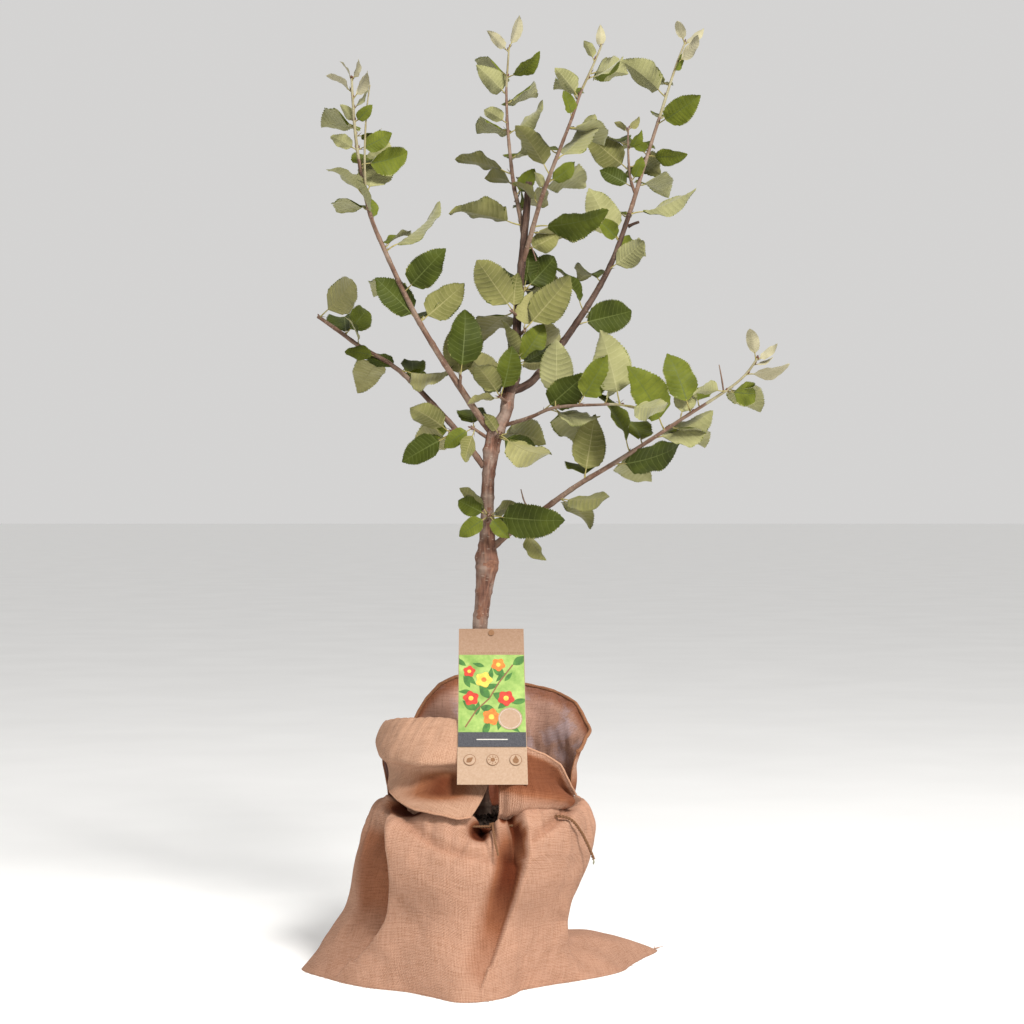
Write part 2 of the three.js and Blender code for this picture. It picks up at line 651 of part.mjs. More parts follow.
function rightSection(angle) {
  const [hemRadius, hemZ] = [lookUp(RIGHT_HEM, angle, 1), lookUp(RIGHT_HEM, angle, 2)];
  const height = hemZ - NECK_TOP;
  const belly = THREE.MathUtils.smoothstep(Math.min(angle + 80, -16 - angle), 0, 14);
  const over = NECK_TOP + 6;
  return [
    [NECK_RADIUS, SOIL_Z + GAP], [NECK_RADIUS, NECK_TOP], [91, over], [between(92, 104, belly), over + 4],
    [between(92, 114, belly), over + 4 + 0.1 * height], [between(93, 117, belly), over + 4 + 0.28 * height],
    [between(88, 101, belly), over + 0.62 * height], [hemRadius, hemZ],
  ];
}

function leftSection(angle) {
  const places = LEFT_FLAP[0].slice(1).map((_, k) => [0, 1].map((n) => {
    const table = LEFT_FLAP.map(([at, ...line]) => [at, line[k][n]]);
    return lookUp(table, angle, 1);
  }));
  return [[NECK_RADIUS, SOIL_Z + GAP], [NECK_RADIUS, NECK_TOP], ...places];
}

function makeCloth() {
  flap('sack_back_wall', -17, 176, backSection, 26, 7);
  flap('sack_flap_left', -180, -86, leftSection, 13, 16);
  flap('sack_flap_right', -77, -22, rightSection, 10, 10);
}

// Tie string
function cord(points, radius) {
  const curve = new THREE.CatmullRomCurve3(points.map((p) => new THREE.Vector3(...p)));
  const section = new THREE.Shape().absarc(0, 0, radius, 0, 2 * Math.PI);
  const form = new THREE.ExtrudeGeometry(section, { extrudePath: curve, steps: 8, curveSegments: 6 });
  return solidOf(form);
}

function makeString() {
  const ring = new THREE.TorusGeometry(STRING.ring, STRING.radius, 5, 44).translate(0, 0, STRING.z);
  const a = degrees(STRING.knotAngle);
  const knot = new THREE.SphereGeometry(STRING.knot, 7, 5);
  const out = STRING.ring - 2;
  knot.translate(out * Math.cos(a), out * Math.sin(a), SOIL_Z + GAP + STRING.knot);
  const tie = wasm.Manifold.union([
    solidOf(ring), solidOf(knot), cord(LONG_END, STRING.radius), cord(SHORT_END, STRING.radius),
  ]);
  addNode('tie_string', tie, twine);
}

// Tag
function makeTag() {
  const { top, bottom } = TAG;
  const lean = new THREE.Vector3(0, bottom.y - top.y, bottom.z - top.z).normalize();
  const normal = new THREE.Vector3(0, lean.z, -lean.y);
  const plate = shaped(new THREE.BoxGeometry(1, 1, 1), (v) => {
    const t = v.y + 0.5;
    const edge = v.x < 0 ? 'left' : 'right';
    const place = new THREE.Vector3(
      between(bottom[edge], top[edge], t), between(bottom.y, top.y, t), between(bottom.z, top.z, t));
    return place.addScaledVector(normal, v.z * TAG.thickness);
  });
  const loop = new THREE.TorusGeometry(TAG.loop, TAG.cord, 6, 20).translate(...TAG.loopAt);
  addNode('tag', solidOf(plate).add(solidOf(loop)), card);
}

makeRootBall();
makeCloth();
makeString();
makeTrunk();
makeTag();
makeShoots();

export default sapling;
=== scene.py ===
# Sapling with a cloth-wrapped root ball and a hanging tag, dressed for the picture.
# Sizes are millimetres, made metres where a mesh is made. +Z is up and the front faces -Y.
import math
import bpy
import numpy as np
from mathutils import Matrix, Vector, noise
from mathutils.bvhtree import BVHTree


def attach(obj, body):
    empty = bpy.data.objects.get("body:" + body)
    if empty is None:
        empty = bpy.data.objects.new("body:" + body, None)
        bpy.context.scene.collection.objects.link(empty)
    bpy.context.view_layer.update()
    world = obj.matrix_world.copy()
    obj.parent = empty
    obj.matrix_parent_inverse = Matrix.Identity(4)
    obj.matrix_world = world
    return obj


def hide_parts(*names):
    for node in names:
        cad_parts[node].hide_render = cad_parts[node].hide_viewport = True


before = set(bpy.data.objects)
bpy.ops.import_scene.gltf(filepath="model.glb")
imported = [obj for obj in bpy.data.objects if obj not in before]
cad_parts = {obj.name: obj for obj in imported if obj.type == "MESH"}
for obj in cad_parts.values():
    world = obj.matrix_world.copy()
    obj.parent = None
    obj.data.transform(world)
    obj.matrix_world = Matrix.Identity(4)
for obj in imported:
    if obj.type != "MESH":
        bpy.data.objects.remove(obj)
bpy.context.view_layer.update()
MM = 0.001

# Places on the plant are written as seen from the front, [x, z, depth], and move out along
# the line of sight with their depth behind the trunk.
EYE = np.array([35.2, -2600.0, 509.0])
# What the picture shows from side to side at the trunk, and the camera's sensor.
PICTURE_WIDTH = 1126.4
SENSOR = 36.0

# Root ball: soil level in the neck, outline of the foot by angle and radius.
SOIL_Z = 174.0
FOOT = [
    [-17, 113], [-36, 96], [-60, 96], [-70, 112], [-83, 138], [-97, 151], [-111, 132], [-129, 122],
    [-148, 138], [-172, 167], [-191, 203], [-202, 165], [-217, 130], [-240, 113], [-270, 112],
    [-295, 115], [-310, 136], [-318, 180], [-323, 252], [-333, 207], [-342, 178], [-354, 157],
    [-366, 132], [-377, 113],
]
# Outer wall of the wrapped ball from its foot over the shoulder to the tie: radius and height.
WALL = [
    [98, 0], [97, 20], [96, 42], [96, 65], [101, 84], [110, 104], [119, 125], [125, 148], [126, 166],
    [120, 180], [111, 187], [103, 183], [98, 177], [93, 174],
]
SHOULDER_FROM = 172.0
SHOULDER_HEIGHT = 13.0
FOOT_RADIUS = 98.0
# The two pulled-out corners: rise up the wall, how full they are on their ridge and beside it, and
# how soon their top rounds off. A ridge stands only where the foot reaches far out of its circle.
CORNERS = {
    "standing": {"rise": 165, "ridge": 1.15, "beside": 1.15, "top": 1},
    "trailing": {"rise": 41, "ridge": 0.6, "beside": 1.6, "top": 7},
}
RIDGE_REACH = (25, 120)
# Lifts of the shoulder, and of its crest under the front flaps: angle, spread and height.
SHOULDER_BUMPS = [
    [-168, 16, 13], [10, 30, 5], [90, 60, 3], [-58, 30, -6], [-84, 6, -5], [-41, 6, -3],
]
CREST = [[-120, 24, 10], [-52, 24, 13], [-85, 5, -7]]
# The front of the ball falls away from the tie as a dome.
DOME = {"angle": -95, "spread": 42, "depth": 12, "from": 105, "to": 182}
# The left side leans in under the flap, and the fold in front rounds off above the floor.
LEFT_TUCK = {"angle": -168, "spread": 20, "depth": 8, "from": 160, "to": 192}
FRONT_FOLD = {"angle": -97, "spread": 42, "soft": 30, "to": 60}
# Around this angle the trailing corner takes over from the standing one.
TRAILING_AT = {"angle": 24, "spread": 40, "from": 0.15, "to": 0.6}

# Cloth above the tie: hems by angle, radius and height, and the left flap's profiles by angle.
NECK_RADIUS = 88.0
CLOTH = 1.4
HEM_RADIUS = 1.35
NECK_TOP = 179.0
BACK_HEM = [
    [-17, 112, 250], [5, 121, 268], [15, 122, 275], [27, 119, 295], [45, 119, 305], [65, 117, 312],
    [90, 115, 322], [105, 114, 320], [115, 111, 312], [125, 109, 296], [135, 106, 274], [176, 98, 262],
]
RIGHT_HEM = [
    [-77, 78, 256], [-70, 80, 261], [-58, 95, 258], [-48, 105, 250], [-37, 109, 238], [-28, 112, 214],
    [-22, 112, 203],
]
LEFT_FLAP = [
    [-180, [86, 210], [90, 250], [102, 280], [114, 258], [110, 243], [102, 233], [99, 222], [98, 212]],
    [-150, [84, 210], [80, 250], [86, 287], [106, 262], [111, 242], [96, 234], [98, 220], [108, 205]],
    [-125, [78, 210], [66, 246], [68, 288], [95, 263], [109, 242], [88, 236], [92, 216], [118, 194]],
    [-98, [76, 210], [58, 244], [58, 284], [73, 263], [84, 243], [73, 234], [86, 214], [117, 187]],
    [-86, [76, 208], [56, 240], [54, 270], [66, 254], [75, 239], [71, 229], [86, 210], [110, 188]],
]

# Tie string: its ring in the groove, its knot and its two loose ends.
STRING = {"radius": 1.3, "ring": 94, "z": 175.6}
KNOT = {"angle": -81, "radius": 90, "z": 176.5}
LONG_END = [
    [64, -67, 176.5], [74, -74, 182.5], [87, -79, 184.5], [99, -78, 180], [109, -72, 167],
    [117, -66, 151], [123, -60, 136],
]
SHORT_END = [[14.5, -92, 177], [15, -99, 176], [16, -108, 170], [18, -118, 160], [21, -122, 149]]

# Tag: the card's size, its corners, and the loop that hangs it on the trunk.
CARD_WIDE = 73.0
CARD_HIGH = 184.0
TAG = {
    "top": {"left": -22.9, "right": 47.8, "y": -12, "z": 381},
    "bottom": {"left": -22.9, "right": 52.1, "y": -104, "z": 221},
    "thickness": 0.8, "loop": 10.5, "cord": 0.9, "loop_at": (0.4, -1.3, 379),
}

# Trunk and leader in one: places [x, z, depth] and diameters.
TRUNK_PLACES = [
    [0, 174.3, 0], [0, 205, 0], [-1, 300, 0], [0, 381, 0], [2, 401, 0], [5, 430, 0], [8, 455, 0],
    [8, 480, 0], [8, 511, 0], [9, 544, 0], [13, 580, 0], [17, 597, 0], [28, 617, 0], [31, 638, 0],
    [35, 656, 0], [39, 687, 0], [42, 735, 0], [46, 784, 0], [50, 828, 0], [54, 872, 0],
]
TRUNK_DIAMETERS = [25, 19, 16.5, 16, 16, 19, 23, 17.5, 14, 14, 17, 18, 13, 14, 16, 10, 8.8, 8.3, 8, 7.4]

# Leaves of the whole plant.
LEAF = {
    "blade": 0.8, "longest": 86, "wide": 0.62, "young": 0.42, "fold": 0.22, "curl": (15.6, 36.4),
    "lean": 34, "petiole": 0.85, "spiral": 144, "thickness": 1.3,
}
YOUNG = {"length": 150, "from": 0.86}
FAR = {
    "first": 6, "clear": 20, "last": 0.93, "heading": (35, 40), "lean": (48, 22), "reach": (33, 10),
    "turn": 40,
}
FAR_SIDE = np.array([0.0, 0.6, 0.8])
LEANS_TRIED = [0, 14, -14, 28, -28, 44, -44, 60, -60]
SUNK = 2.5

# Shoots: a bare bough from a parent limb, then the leafy stem that grows on from its tip.
# A leaf row reads: place along the shoot (its x on flat shoots, z on steep ones), heading,
# reach from foot to tip, and turn of the blade, 0 with its upper face to the front.
SHOOTS = [
    {
        "name": "left", "by": "z", "bare": 118, "diameters": (7.8, 2.6), "far": 6,
        "places": [
            [12, 597, 0], [0, 613, -4], [-20, 643, -10], [-55, 698, -24], [-77, 737, -38],
            [-104, 795, -55], [-122, 840, -68], [-135, 907, -84], [-140, 962, -94], [-141, 986, -98],
        ],
        "leaves": [
            [715, 133, 65, 20], [720, 43, 60, 180], [757, 43, 58, 8], [797, 35, 80, 106],
            [826, 90, 30, 35], [828, 106, 56, 95], [856, 73, 65, 178], [862, 134, 49, 118],
            [889, 13, 58, 35], [905, 24, 42, 25], [911, 150, 32, 150], [918, 6, 30, 75],
            [930, 37, 24, 20], [943, 121, 24, 150], [950, 52, 32, 120], [964, 51, 36, 150],
            [973, 134, 35, 110], [984, 62, 24, 140], [985, 112, 26, 100],
        ],
    },
    {
        "name": "low_left", "by": "x", "bare": 96, "diameters": (7, 4.2), "far": 3, "cut": True,
        "places": [
            [4, 559, 0], [-17, 588, 8], [-44, 619, 20], [-88, 664, 42], [-132, 691, 64],
            [-154, 707, 76], [-178, 724, 88],
        ],
        "leaves": [
            [-84, -18, 34, 20], [-87, -12, 66, 125], [-90, 149, 50, 55], [-110, 165, 40, 30],
            [-129, 104, 36, 85], [-150, 52, 48, 15], [-176, 40, 66, 172],
        ],
    },
    {
        "name": "low_right", "by": "x", "bare": 76, "diameters": (7.4, 2.3), "far": 7,
        "places": [
            [10, 466, 0], [35, 488, -8], [66, 509, -20], [105, 537, -36], [143, 560, -50],
            [187, 588, -66], [220, 610, -78], [270, 642, -94], [292, 660, -100], [305, 678, -104],
        ],
        "leaves": [
            [83, -4, 58, 125], [113, 80, 70, 178], [141, 8, 84, 40], [168, 106, 72, 68],
            [188, 16, 74, 128], [203, 115, 72, 30], [216, 75, 46, 176], [231, 108, 70, 15],
            [266, 176, 40, 135], [267, -5, 46, 15], [294, 1, 43, 60], [301, 15, 24, 120],
            [303, 32, 30, 150], [304, 101, 38, 165],
        ],
    },
    {
        "name": "right", "by": "z", "bare": 106, "diameters": (9, 2.2), "far": 8,
        "places": [
            [33, 641, 0], [52, 649, 8], [66, 663, 14], [105, 715, 36], [141, 775, 56], [164, 836, 72],
            [179, 885, 84], [200, 951, 98], [216, 1001, 106], [226, 1026, 110],
        ],
        "leaves": [
            [722, 15, 72, 5], [733, 112, 63, 60], [773, 36, 54, 175], [796, 40, 38, 10],
            [800, 135, 34, 15], [805, 118, 70, 178], [829, 11, 82, 112], [893, -7, 44, 45],
            [905, 121, 27, 20], [932, 28, 52, 25], [962, 130, 66, 128], [985, 60, 26, 60],
            [1000, 42, 41, 140], [1022, 39, 31, 150], [1025, 110, 29, 160],
        ],
    },
    {
        "name": "right_side", "by": "z", "bare": 0, "diameters": (3.4, 1.9), "far": 2,
        "places": [[171, 858, 78], [165, 878, 74], [163, 907, 68], [163, 931, 64]],
        "leaves": [
            [868, 150, 43, 15], [872, 60, 30, 30], [887, 135, 59, 170], [906, 47, 24, 40],
            [927, 130, 19, 120], [929, 45, 20, 150],
        ],
    },
    {
        "name": "upper_left", "by": "z", "bare": 0, "diameters": (5.4, 2), "far": 6,
        "places": [
            [49, 806, 0], [42, 846, 10], [37, 869, 18], [31, 924, 34], [29, 968, 44], [30, 992, 48],
            [32, 1020, 52],
        ],
        "leaves": [
            [826, 165, 82, 124], [840, 83, 46, 78], [858, 53, 35, 10], [877, 153, 67, 100],
            [925, 32, 54, 130], [936, 146, 32, 150], [966, 128, 44, 160], [987, 18, 42, 72],
            [1015, 131, 34, 165], [1018, 68, 40, 150],
        ],
    },
    {
        "name": "upper_right", "by": "z", "bare": 0, "diameters": (6, 2), "far": 7,
        "places": [
            [47, 784, 0], [56, 814, -10], [66, 849, -22], [77, 880, -34], [101, 942, -56],
            [111, 971, -64], [123, 997, -70], [134, 1023, -74],
        ],
        "leaves": [
            [800, 28, 42, 160], [825, 1, 80, 62], [863, 111, 22, 150], [872, 31, 41, 30],
            [883, 121, 64, 132], [896, 42, 69, 125], [942, 102, 27, 30], [962, 121, 41, 145],
            [984, 23, 48, 82], [1004, 113, 26, 150], [1020, 85, 26, 160],
        ],
    },
    {
        "name": "centre_right", "by": "x", "bare": 34, "diameters": (4.6, 2.2), "far": 2,
        "places": [
            [26, 604, 0], [55, 613, -24], [83, 624, -44], [132, 627, -78], [154, 627, -92],
            [176, 622, -104],
        ],
        "leaves": [
            [66, 39, 60, 10], [78, -17, 58, 105], [81, 88, 74, 170], [113, 58, 60, 12],
            [154, 100, 76, 165], [160, -10, 48, 150],
        ],
    },
]

# Short spurs that carry a cluster of leaves straight on a limb.
SPURS = [
    {
        "name": "spur_left", "by": "z", "far": 0, "diameters": (4, 3),
        "places": [[-20, 640, -10], [-22, 650, -16], [-21, 658, -20]],
        "leaves": [[652, 94, 66, 176], [655, 84, 80, 12]],
    },
    {
        "name": "spur_low_left", "by": "z", "far": 1, "diameters": (4, 3),
        "places": [[-28, 602, 14], [-32, 596, 2], [-35, 592, -6]],
        "leaves": [[592, 208, 60, 12], [595, 142, 56, 150], [600, 185, 30, 20]],
    },
    {
        "name": "spur_trunk_left", "by": "x", "far": 1, "diameters": (4.4, 3.2),
        "places": [[12, 588, 0], [0, 596, -4], [-10, 603, -8]],
        "leaves": [[-4, 250, 40, 150], [-9, 210, 38, 20]],
    },
    {
        "name": "spur_fork", "by": "z", "far": 1, "diameters": (4.4, 3.2),
        "places": [[16, 590, 0], [19, 592, -12], [22, 596, -20]],
        "leaves": [[593, -22, 48, 12], [594, -35, 70, 140], [594, 119, 27, 150]],
    },
    {
        "name": "spur_leader_low", "by": "z", "far": 2, "diameters": (4.4, 3),
        "places": [[30, 628, 0], [26, 632, -12], [22, 636, -22]],
        "leaves": [[634, 125, 48, 155], [635, 122, 62, 150], [636, 75, 56, 20]],
    },
    {
        "name": "spur_leader_mid", "by": "z", "far": 2, "diameters": (4.4, 3),
        "places": [[36, 664, 0], [38, 668, -10], [41, 672, -18]],
        "leaves": [[667, 100, 54, 118], [669, 52, 60, 20], [672, 20, 46, 60]],
    },
    {
        "name": "spur_leader_right", "by": "z", "far": 2, "diameters": (4.2, 3),
        "places": [[41, 702, 0], [45, 705, -10], [49, 709, -20]],
        "leaves": [[707, 48, 80, 172]],
    },
    {
        "name": "spur_leader_left", "by": "z", "far": 2, "diameters": (4.2, 3),
        "places": [[42, 722, 0], [39, 726, -10], [35, 730, -18]],
        "leaves": [[727, 126, 74, 176]],
    },
    {
        "name": "spur_leader_top", "by": "z", "far": 3, "diameters": (4.2, 3),
        "places": [[44, 748, 0], [47, 751, 10], [50, 755, 20]],
        "leaves": [[752, 47, 62, 10], [754, 80, 50, 20]],
    },
    {
        "name": "spur_stem", "by": "z", "far": 2, "diameters": (4.4, 3.2),
        "places": [[8, 500, 0], [9, 503, -14], [10, 506, -26]],
        "leaves": [
            [504, -6, 80, 22], [505, 152, 42, 5], [505, 213, 40, 12], [506, -50, 32, 8],
            [506, -33, 40, 30],
        ],
    },
    {
        "name": "spur_low_right", "by": "z", "far": 0, "diameters": (3.4, 2.8),
        "places": [[45, 496, -12], [47, 491, -17], [48, 487, -20]],
        "leaves": [[488, -59, 40, 140]],
    },
]


# Numbers and lines

def seeded(seed):
    """Numbers from 0 to 1, the same in each run."""
    state = seed
    while True:
        state = state * 16807 % 2147483647
        yield state / 2147483647


def between(a, b, t):
    """The number a share of the way from one to another."""
    return a + (b - a) * t


def smoothstep(value, low, high):
    """0 at the low value and 1 at the high one, with a smooth rise."""
    t = np.clip((value - low) / (high - low), 0.0, 1.0)
    return t * t * (3 - 2 * t)


def smooth_line(rows, steps):
    """A smooth line through rows of numbers, each stretch in the same number of steps."""
    rows = np.asarray(rows, float)
    line = []
    for i in range(len(rows) - 1):
        a, b, c, d = rows[max(i - 1, 0)], rows[i], rows[i + 1], rows[min(i + 2, len(rows) - 1)]
        for k in range(steps):
            t = k / steps
            line.append(b + 0.5 * t * (c - a + t * (2 * a - 5 * b + 4 * c - d + t * (3 * (b - c) + d - a))))
    line.append(rows[-1])
    return np.array(line)


def seen(rows):
    """Places seen from the front as places in space."""
    rows = np.asarray(rows, float)
    k = ((rows[:, 2] - EYE[1]) / -EYE[1])[:, None]
    flat = EYE[[0, 2]] + (rows[:, :2] - EYE[[0, 2]]) * k
    return np.column_stack([flat[:, 0], rows[:, 2], flat[:, 1]])


def distances(line):
    """Distance run at each point of a line."""
    return np.concatenate([[0], np.cumsum(np.linalg.norm(np.diff(line, axis=0), axis=1))])


def headings(line):
    """Direction of a line at each of its points."""
    ahead = np.gradient(line, axis=0)
    return ahead / np.linalg.norm(ahead, axis=1)[:, None]


class Route:
    """The middle line of a limb, with the distance run at each of its points."""

    def __init__(self, rows, steps):
        self.front = smooth_line(rows, steps)
        self.points = seen(self.front)
        self.run = distances(self.points)
        self.length = self.run[-1]

    def at(self, distance):
        """Points at distances from the foot."""
        d = np.clip(np.atleast_1d(distance), 0, self.length)
        return np.column_stack([np.interp(d, self.run, self.points[:, n]) for n in range(3)])

    def direction(self, distance):
        """Directions at distances from the foot."""
        d = np.atleast_1d(np.asarray(distance, float))
        ahead = self.at(np.minimum(d + 3, self.length)) - self.at(np.maximum(d - 3, 0))
        return ahead / np.linalg.norm(ahead, axis=1)[:, None]


def taper(diameters, route):
    """Radius at a distance along a limb that narrows evenly."""
    return lambda distance: between(diameters[0], diameters[1], distance / route.length) / 2


# Meshes

def add_painted_shade(piece, values):
    """Stores the painted shade at each vertex, darkening the cloth where shade falls, for the cloth
    materials to read.
    """
    layer = piece.data.attributes.new("soiled", "FLOAT", "POINT")
    full = np.zeros(len(piece.data.vertices), dtype=np.float32)
    full[:len(values)] = values
    layer.data.foreach_set("value", full)


def grid_faces(rows, columns, flip=False):
    """Quads of a grid of rows by columns of points."""
    r, c = np.meshgrid(np.arange(rows - 1), np.arange(columns - 1), indexing="ij")
    a = r * columns + c
    quads = np.stack([a, a + 1, a + columns + 1, a + columns], -1).reshape(-1, 4)
    return quads[:, ::-1] if flip else quads


class Build:
    """Collects the parts of one piece in millimetres: points, faces, face slots and corner UVs."""

    def __init__(self):
        self.points, self.faces, self.slots, self.uv, self.count = [], [], [], [], 0

    def add(self, points, faces, slot, uv=None):
        faces = np.asarray(faces)
        self.points.append(points)
        self.faces.extend((faces + self.count).tolist())
        self.slots.append(np.broadcast_to(slot, len(faces)))
        uv = np.zeros((len(points), 2)) if uv is None else uv
        self.uv.append(uv[faces.ravel()])
        self.count += len(points)

    def sheet(self, points, slot, uv=None, flip=False):
        """Adds a grid of points, its UV as seen from above when none is given."""
        rows, columns = points.shape[:2]
        uv = points[..., :2] if uv is None else uv
        self.add(points.reshape(-1, 3), grid_faces(rows, columns, flip), slot, uv.reshape(-1, 2))

    def finish(self, name, materials, smooth=True):
        """The piece made of all parts, its millimetres made metres."""
        mesh = bpy.data.meshes.new(name)
        mesh.from_pydata((np.concatenate(self.points) * MM).tolist(), [], self.faces)
        for look in materials:
            mesh.materials.append(look)
        mesh.polygons.foreach_set("material_index", np.concatenate(self.slots).astype(np.int32))
        layer = mesh.uv_layers.new(name="surface")
        layer.data.foreach_set("uv", (np.concatenate(self.uv) * MM).ravel())
        mesh.polygons.foreach_set("use_smooth", np.full(len(self.faces), smooth))
        mesh.update()
        piece = bpy.data.objects.new(name, mesh)
        bpy.context.scene.collection.objects.link(piece)
        return piece


def tube_points(centres, directions, radii, sides, relief=None):
    """Rings of a tube: its points, and around and along distances for its UV."""
    side = np.array([0.0, 1.0, 0.0]) - directions * directions[:, 1:2]
    short = np.linalg.norm(side, axis=1) < 0.2
    side[short] = np.array([1.0, 0.0, 0.0]) - directions[short] * directions[short, 0:1]
    side /= np.linalg.norm(side, axis=1)[:, None]
    across = np.cross(directions, side)
    turn = np.linspace(0, 2 * math.pi, sides + 1)
    r = np.broadcast_to(radii, len(centres))[:, None] * np.ones(sides + 1)
    if relief is not None:
        r = r + relief(turn[None, :])
    points = (centres[:, None] + side[:, None] * (r * np.cos(turn))[..., None]
              + across[:, None] * (r * np.sin(turn))[..., None])
    uv = np.stack([turn[None, :] * r.mean() + 0 * r, distances(centres)[:, None] + 0 * r], -1)
    return points.reshape(-1, 3), uv.reshape(-1, 2)


def add_tube(build, centres, directions, radii, sides, slot, relief=None):
    """A closed tube, its two ends capped."""
    points, uv = tube_points(centres, directions, radii, sides, relief)
    columns = sides + 1
    build.add(points, grid_faces(len(centres), columns), slot, uv)
    for end, flip in ((0, True), (len(centres) - 1, False)):
        ring = points[end * columns:(end + 1) * columns - 1]
        tip = np.vstack([ring, ring.mean(axis=0)])
        fan = [[k, (k + 1) % sides, sides] for k in range(sides)]
        build.add(tip, [f[::-1] for f in fan] if flip else fan, slot)


def pick(*pieces):
    """Selects these pieces alone, the first one active."""
    bpy.ops.object.select_all(action="DESELECT")
    for piece in pieces:
        piece.select_set(True)
    bpy.context.view_layer.objects.active = pieces[0]


def weld(piece, distance=0.02):
    """Merges doubled points, such as a seam, and turns the faces outward."""
    pick(piece)
    bpy.ops.object.mode_set(mode="EDIT")
    bpy.ops.mesh.select_all(action="SELECT")
    bpy.ops.mesh.remove_doubles(threshold=distance * MM)
    bpy.ops.mesh.normals_make_consistent(inside=False)
    bpy.ops.object.mode_set(mode="OBJECT")


# Materials

def colour(code):
    """An sRGB hex colour as linear numbers."""
    parts = [int(code[k:k + 2], 16) / 255 for k in (1, 3, 5)]
    return [c / 12.92 if c < 0.04045 else ((c + 0.055) / 1.055) ** 2.4 for c in parts] + [1.0]


def per_metre(*sizes):
    """Scale of a pattern from its real sizes in millimetres."""
    return [1000 / size for size in sizes] + [1.0] * (3 - len(sizes))


class Look:
    """A node material in the making."""

    def __init__(self, name, roughness, **shader):
        self.material = bpy.data.materials.new(name)
        self.material.use_nodes = True
        self.nodes = self.material.node_tree.nodes
        self.links = self.material.node_tree.links
        self.shader = self.nodes["Principled BSDF"]
        self.shader.inputs["Roughness"].default_value = roughness
        for socket, value in shader.items():
            self.shader.inputs[socket.replace("_", " ")].default_value = value

    def add(self, kind, *values, out=0, stops=(), **named):
        """Adds a node and gives one of its outputs. Values feed its sockets in their order.
        A name with a capital is a socket, _6 is the socket of that number, other names are settings."""
        node = self.nodes.new("ShaderNode" + kind)
        feeds = dict(enumerate(values))
        for key, value in named.items():
            if key[0] == "_" or key[0].isupper():
                feeds[int(key[1:]) if key[0] == "_" else key] = value
            else:
                setattr(node, key, value)
        for socket, value in feeds.items():
            if isinstance(value, bpy.types.NodeSocket):
                self.links.new(value, node.inputs[socket])
            else:
                node.inputs[socket].default_value = colour(value) if isinstance(value, str) else value
        if stops:
            bar = node.color_ramp.elements
            while len(bar) < len(stops):
                bar.new(0.5)
            for element, (position, tone) in zip(bar, stops):
                element.position = position
                element.color = colour(tone) if isinstance(tone, str) else (tone, tone, tone, 1.0)
        return node.outputs[out]

    def finish(self, base, height=None, bump=0.0005, strength=1.0):
        """Colour, and a bump of the given height in metres, into the shader."""
        self.links.new(base, self.shader.inputs["Base Color"])
        if height is not None:
            normal = self.add("Bump", Height=height, Distance=bump, Strength=strength)
            self.links.new(normal, self.shader.inputs["Normal"])
        return self.material


def weave(look, surface):
    """Plain weave of threads 1.6 mm apart, coarser than real ones so that it shows: height and place."""
    drift = look.add("TexNoise", surface, Scale=1000 / 14.29, Detail=2.0, out="Color")
    shift = look.add("VectorMath", drift, (0.5, 0.5, 0.5), operation="SUBTRACT")
    shift = look.add("VectorMath", shift, operation="SCALE", Scale=2 * THREAD_WANDER * MM)
    where = look.add("VectorMath", surface, shift, operation="ADD")
    threads = look.add("VectorMath", where, operation="SCALE", Scale=1000 / THREAD_PITCH)
    over = look.add("TexChecker", threads, (1, 1, 1, 1), (0, 0, 0, 1), 1.0, out="Fac")
    rounds = []
    for axis in ("X", "Y"):
        run = look.add("SeparateXYZ", threads, out=axis)
        wave = look.add("Math", look.add("Math", run, math.pi, operation="MULTIPLY"), operation="SINE")
        rounds.append(look.add("Math", wave, operation="ABSOLUTE"))
    return look.add("Mix", over, data_type="FLOAT", _2=rounds[0], _3=rounds[1]), where


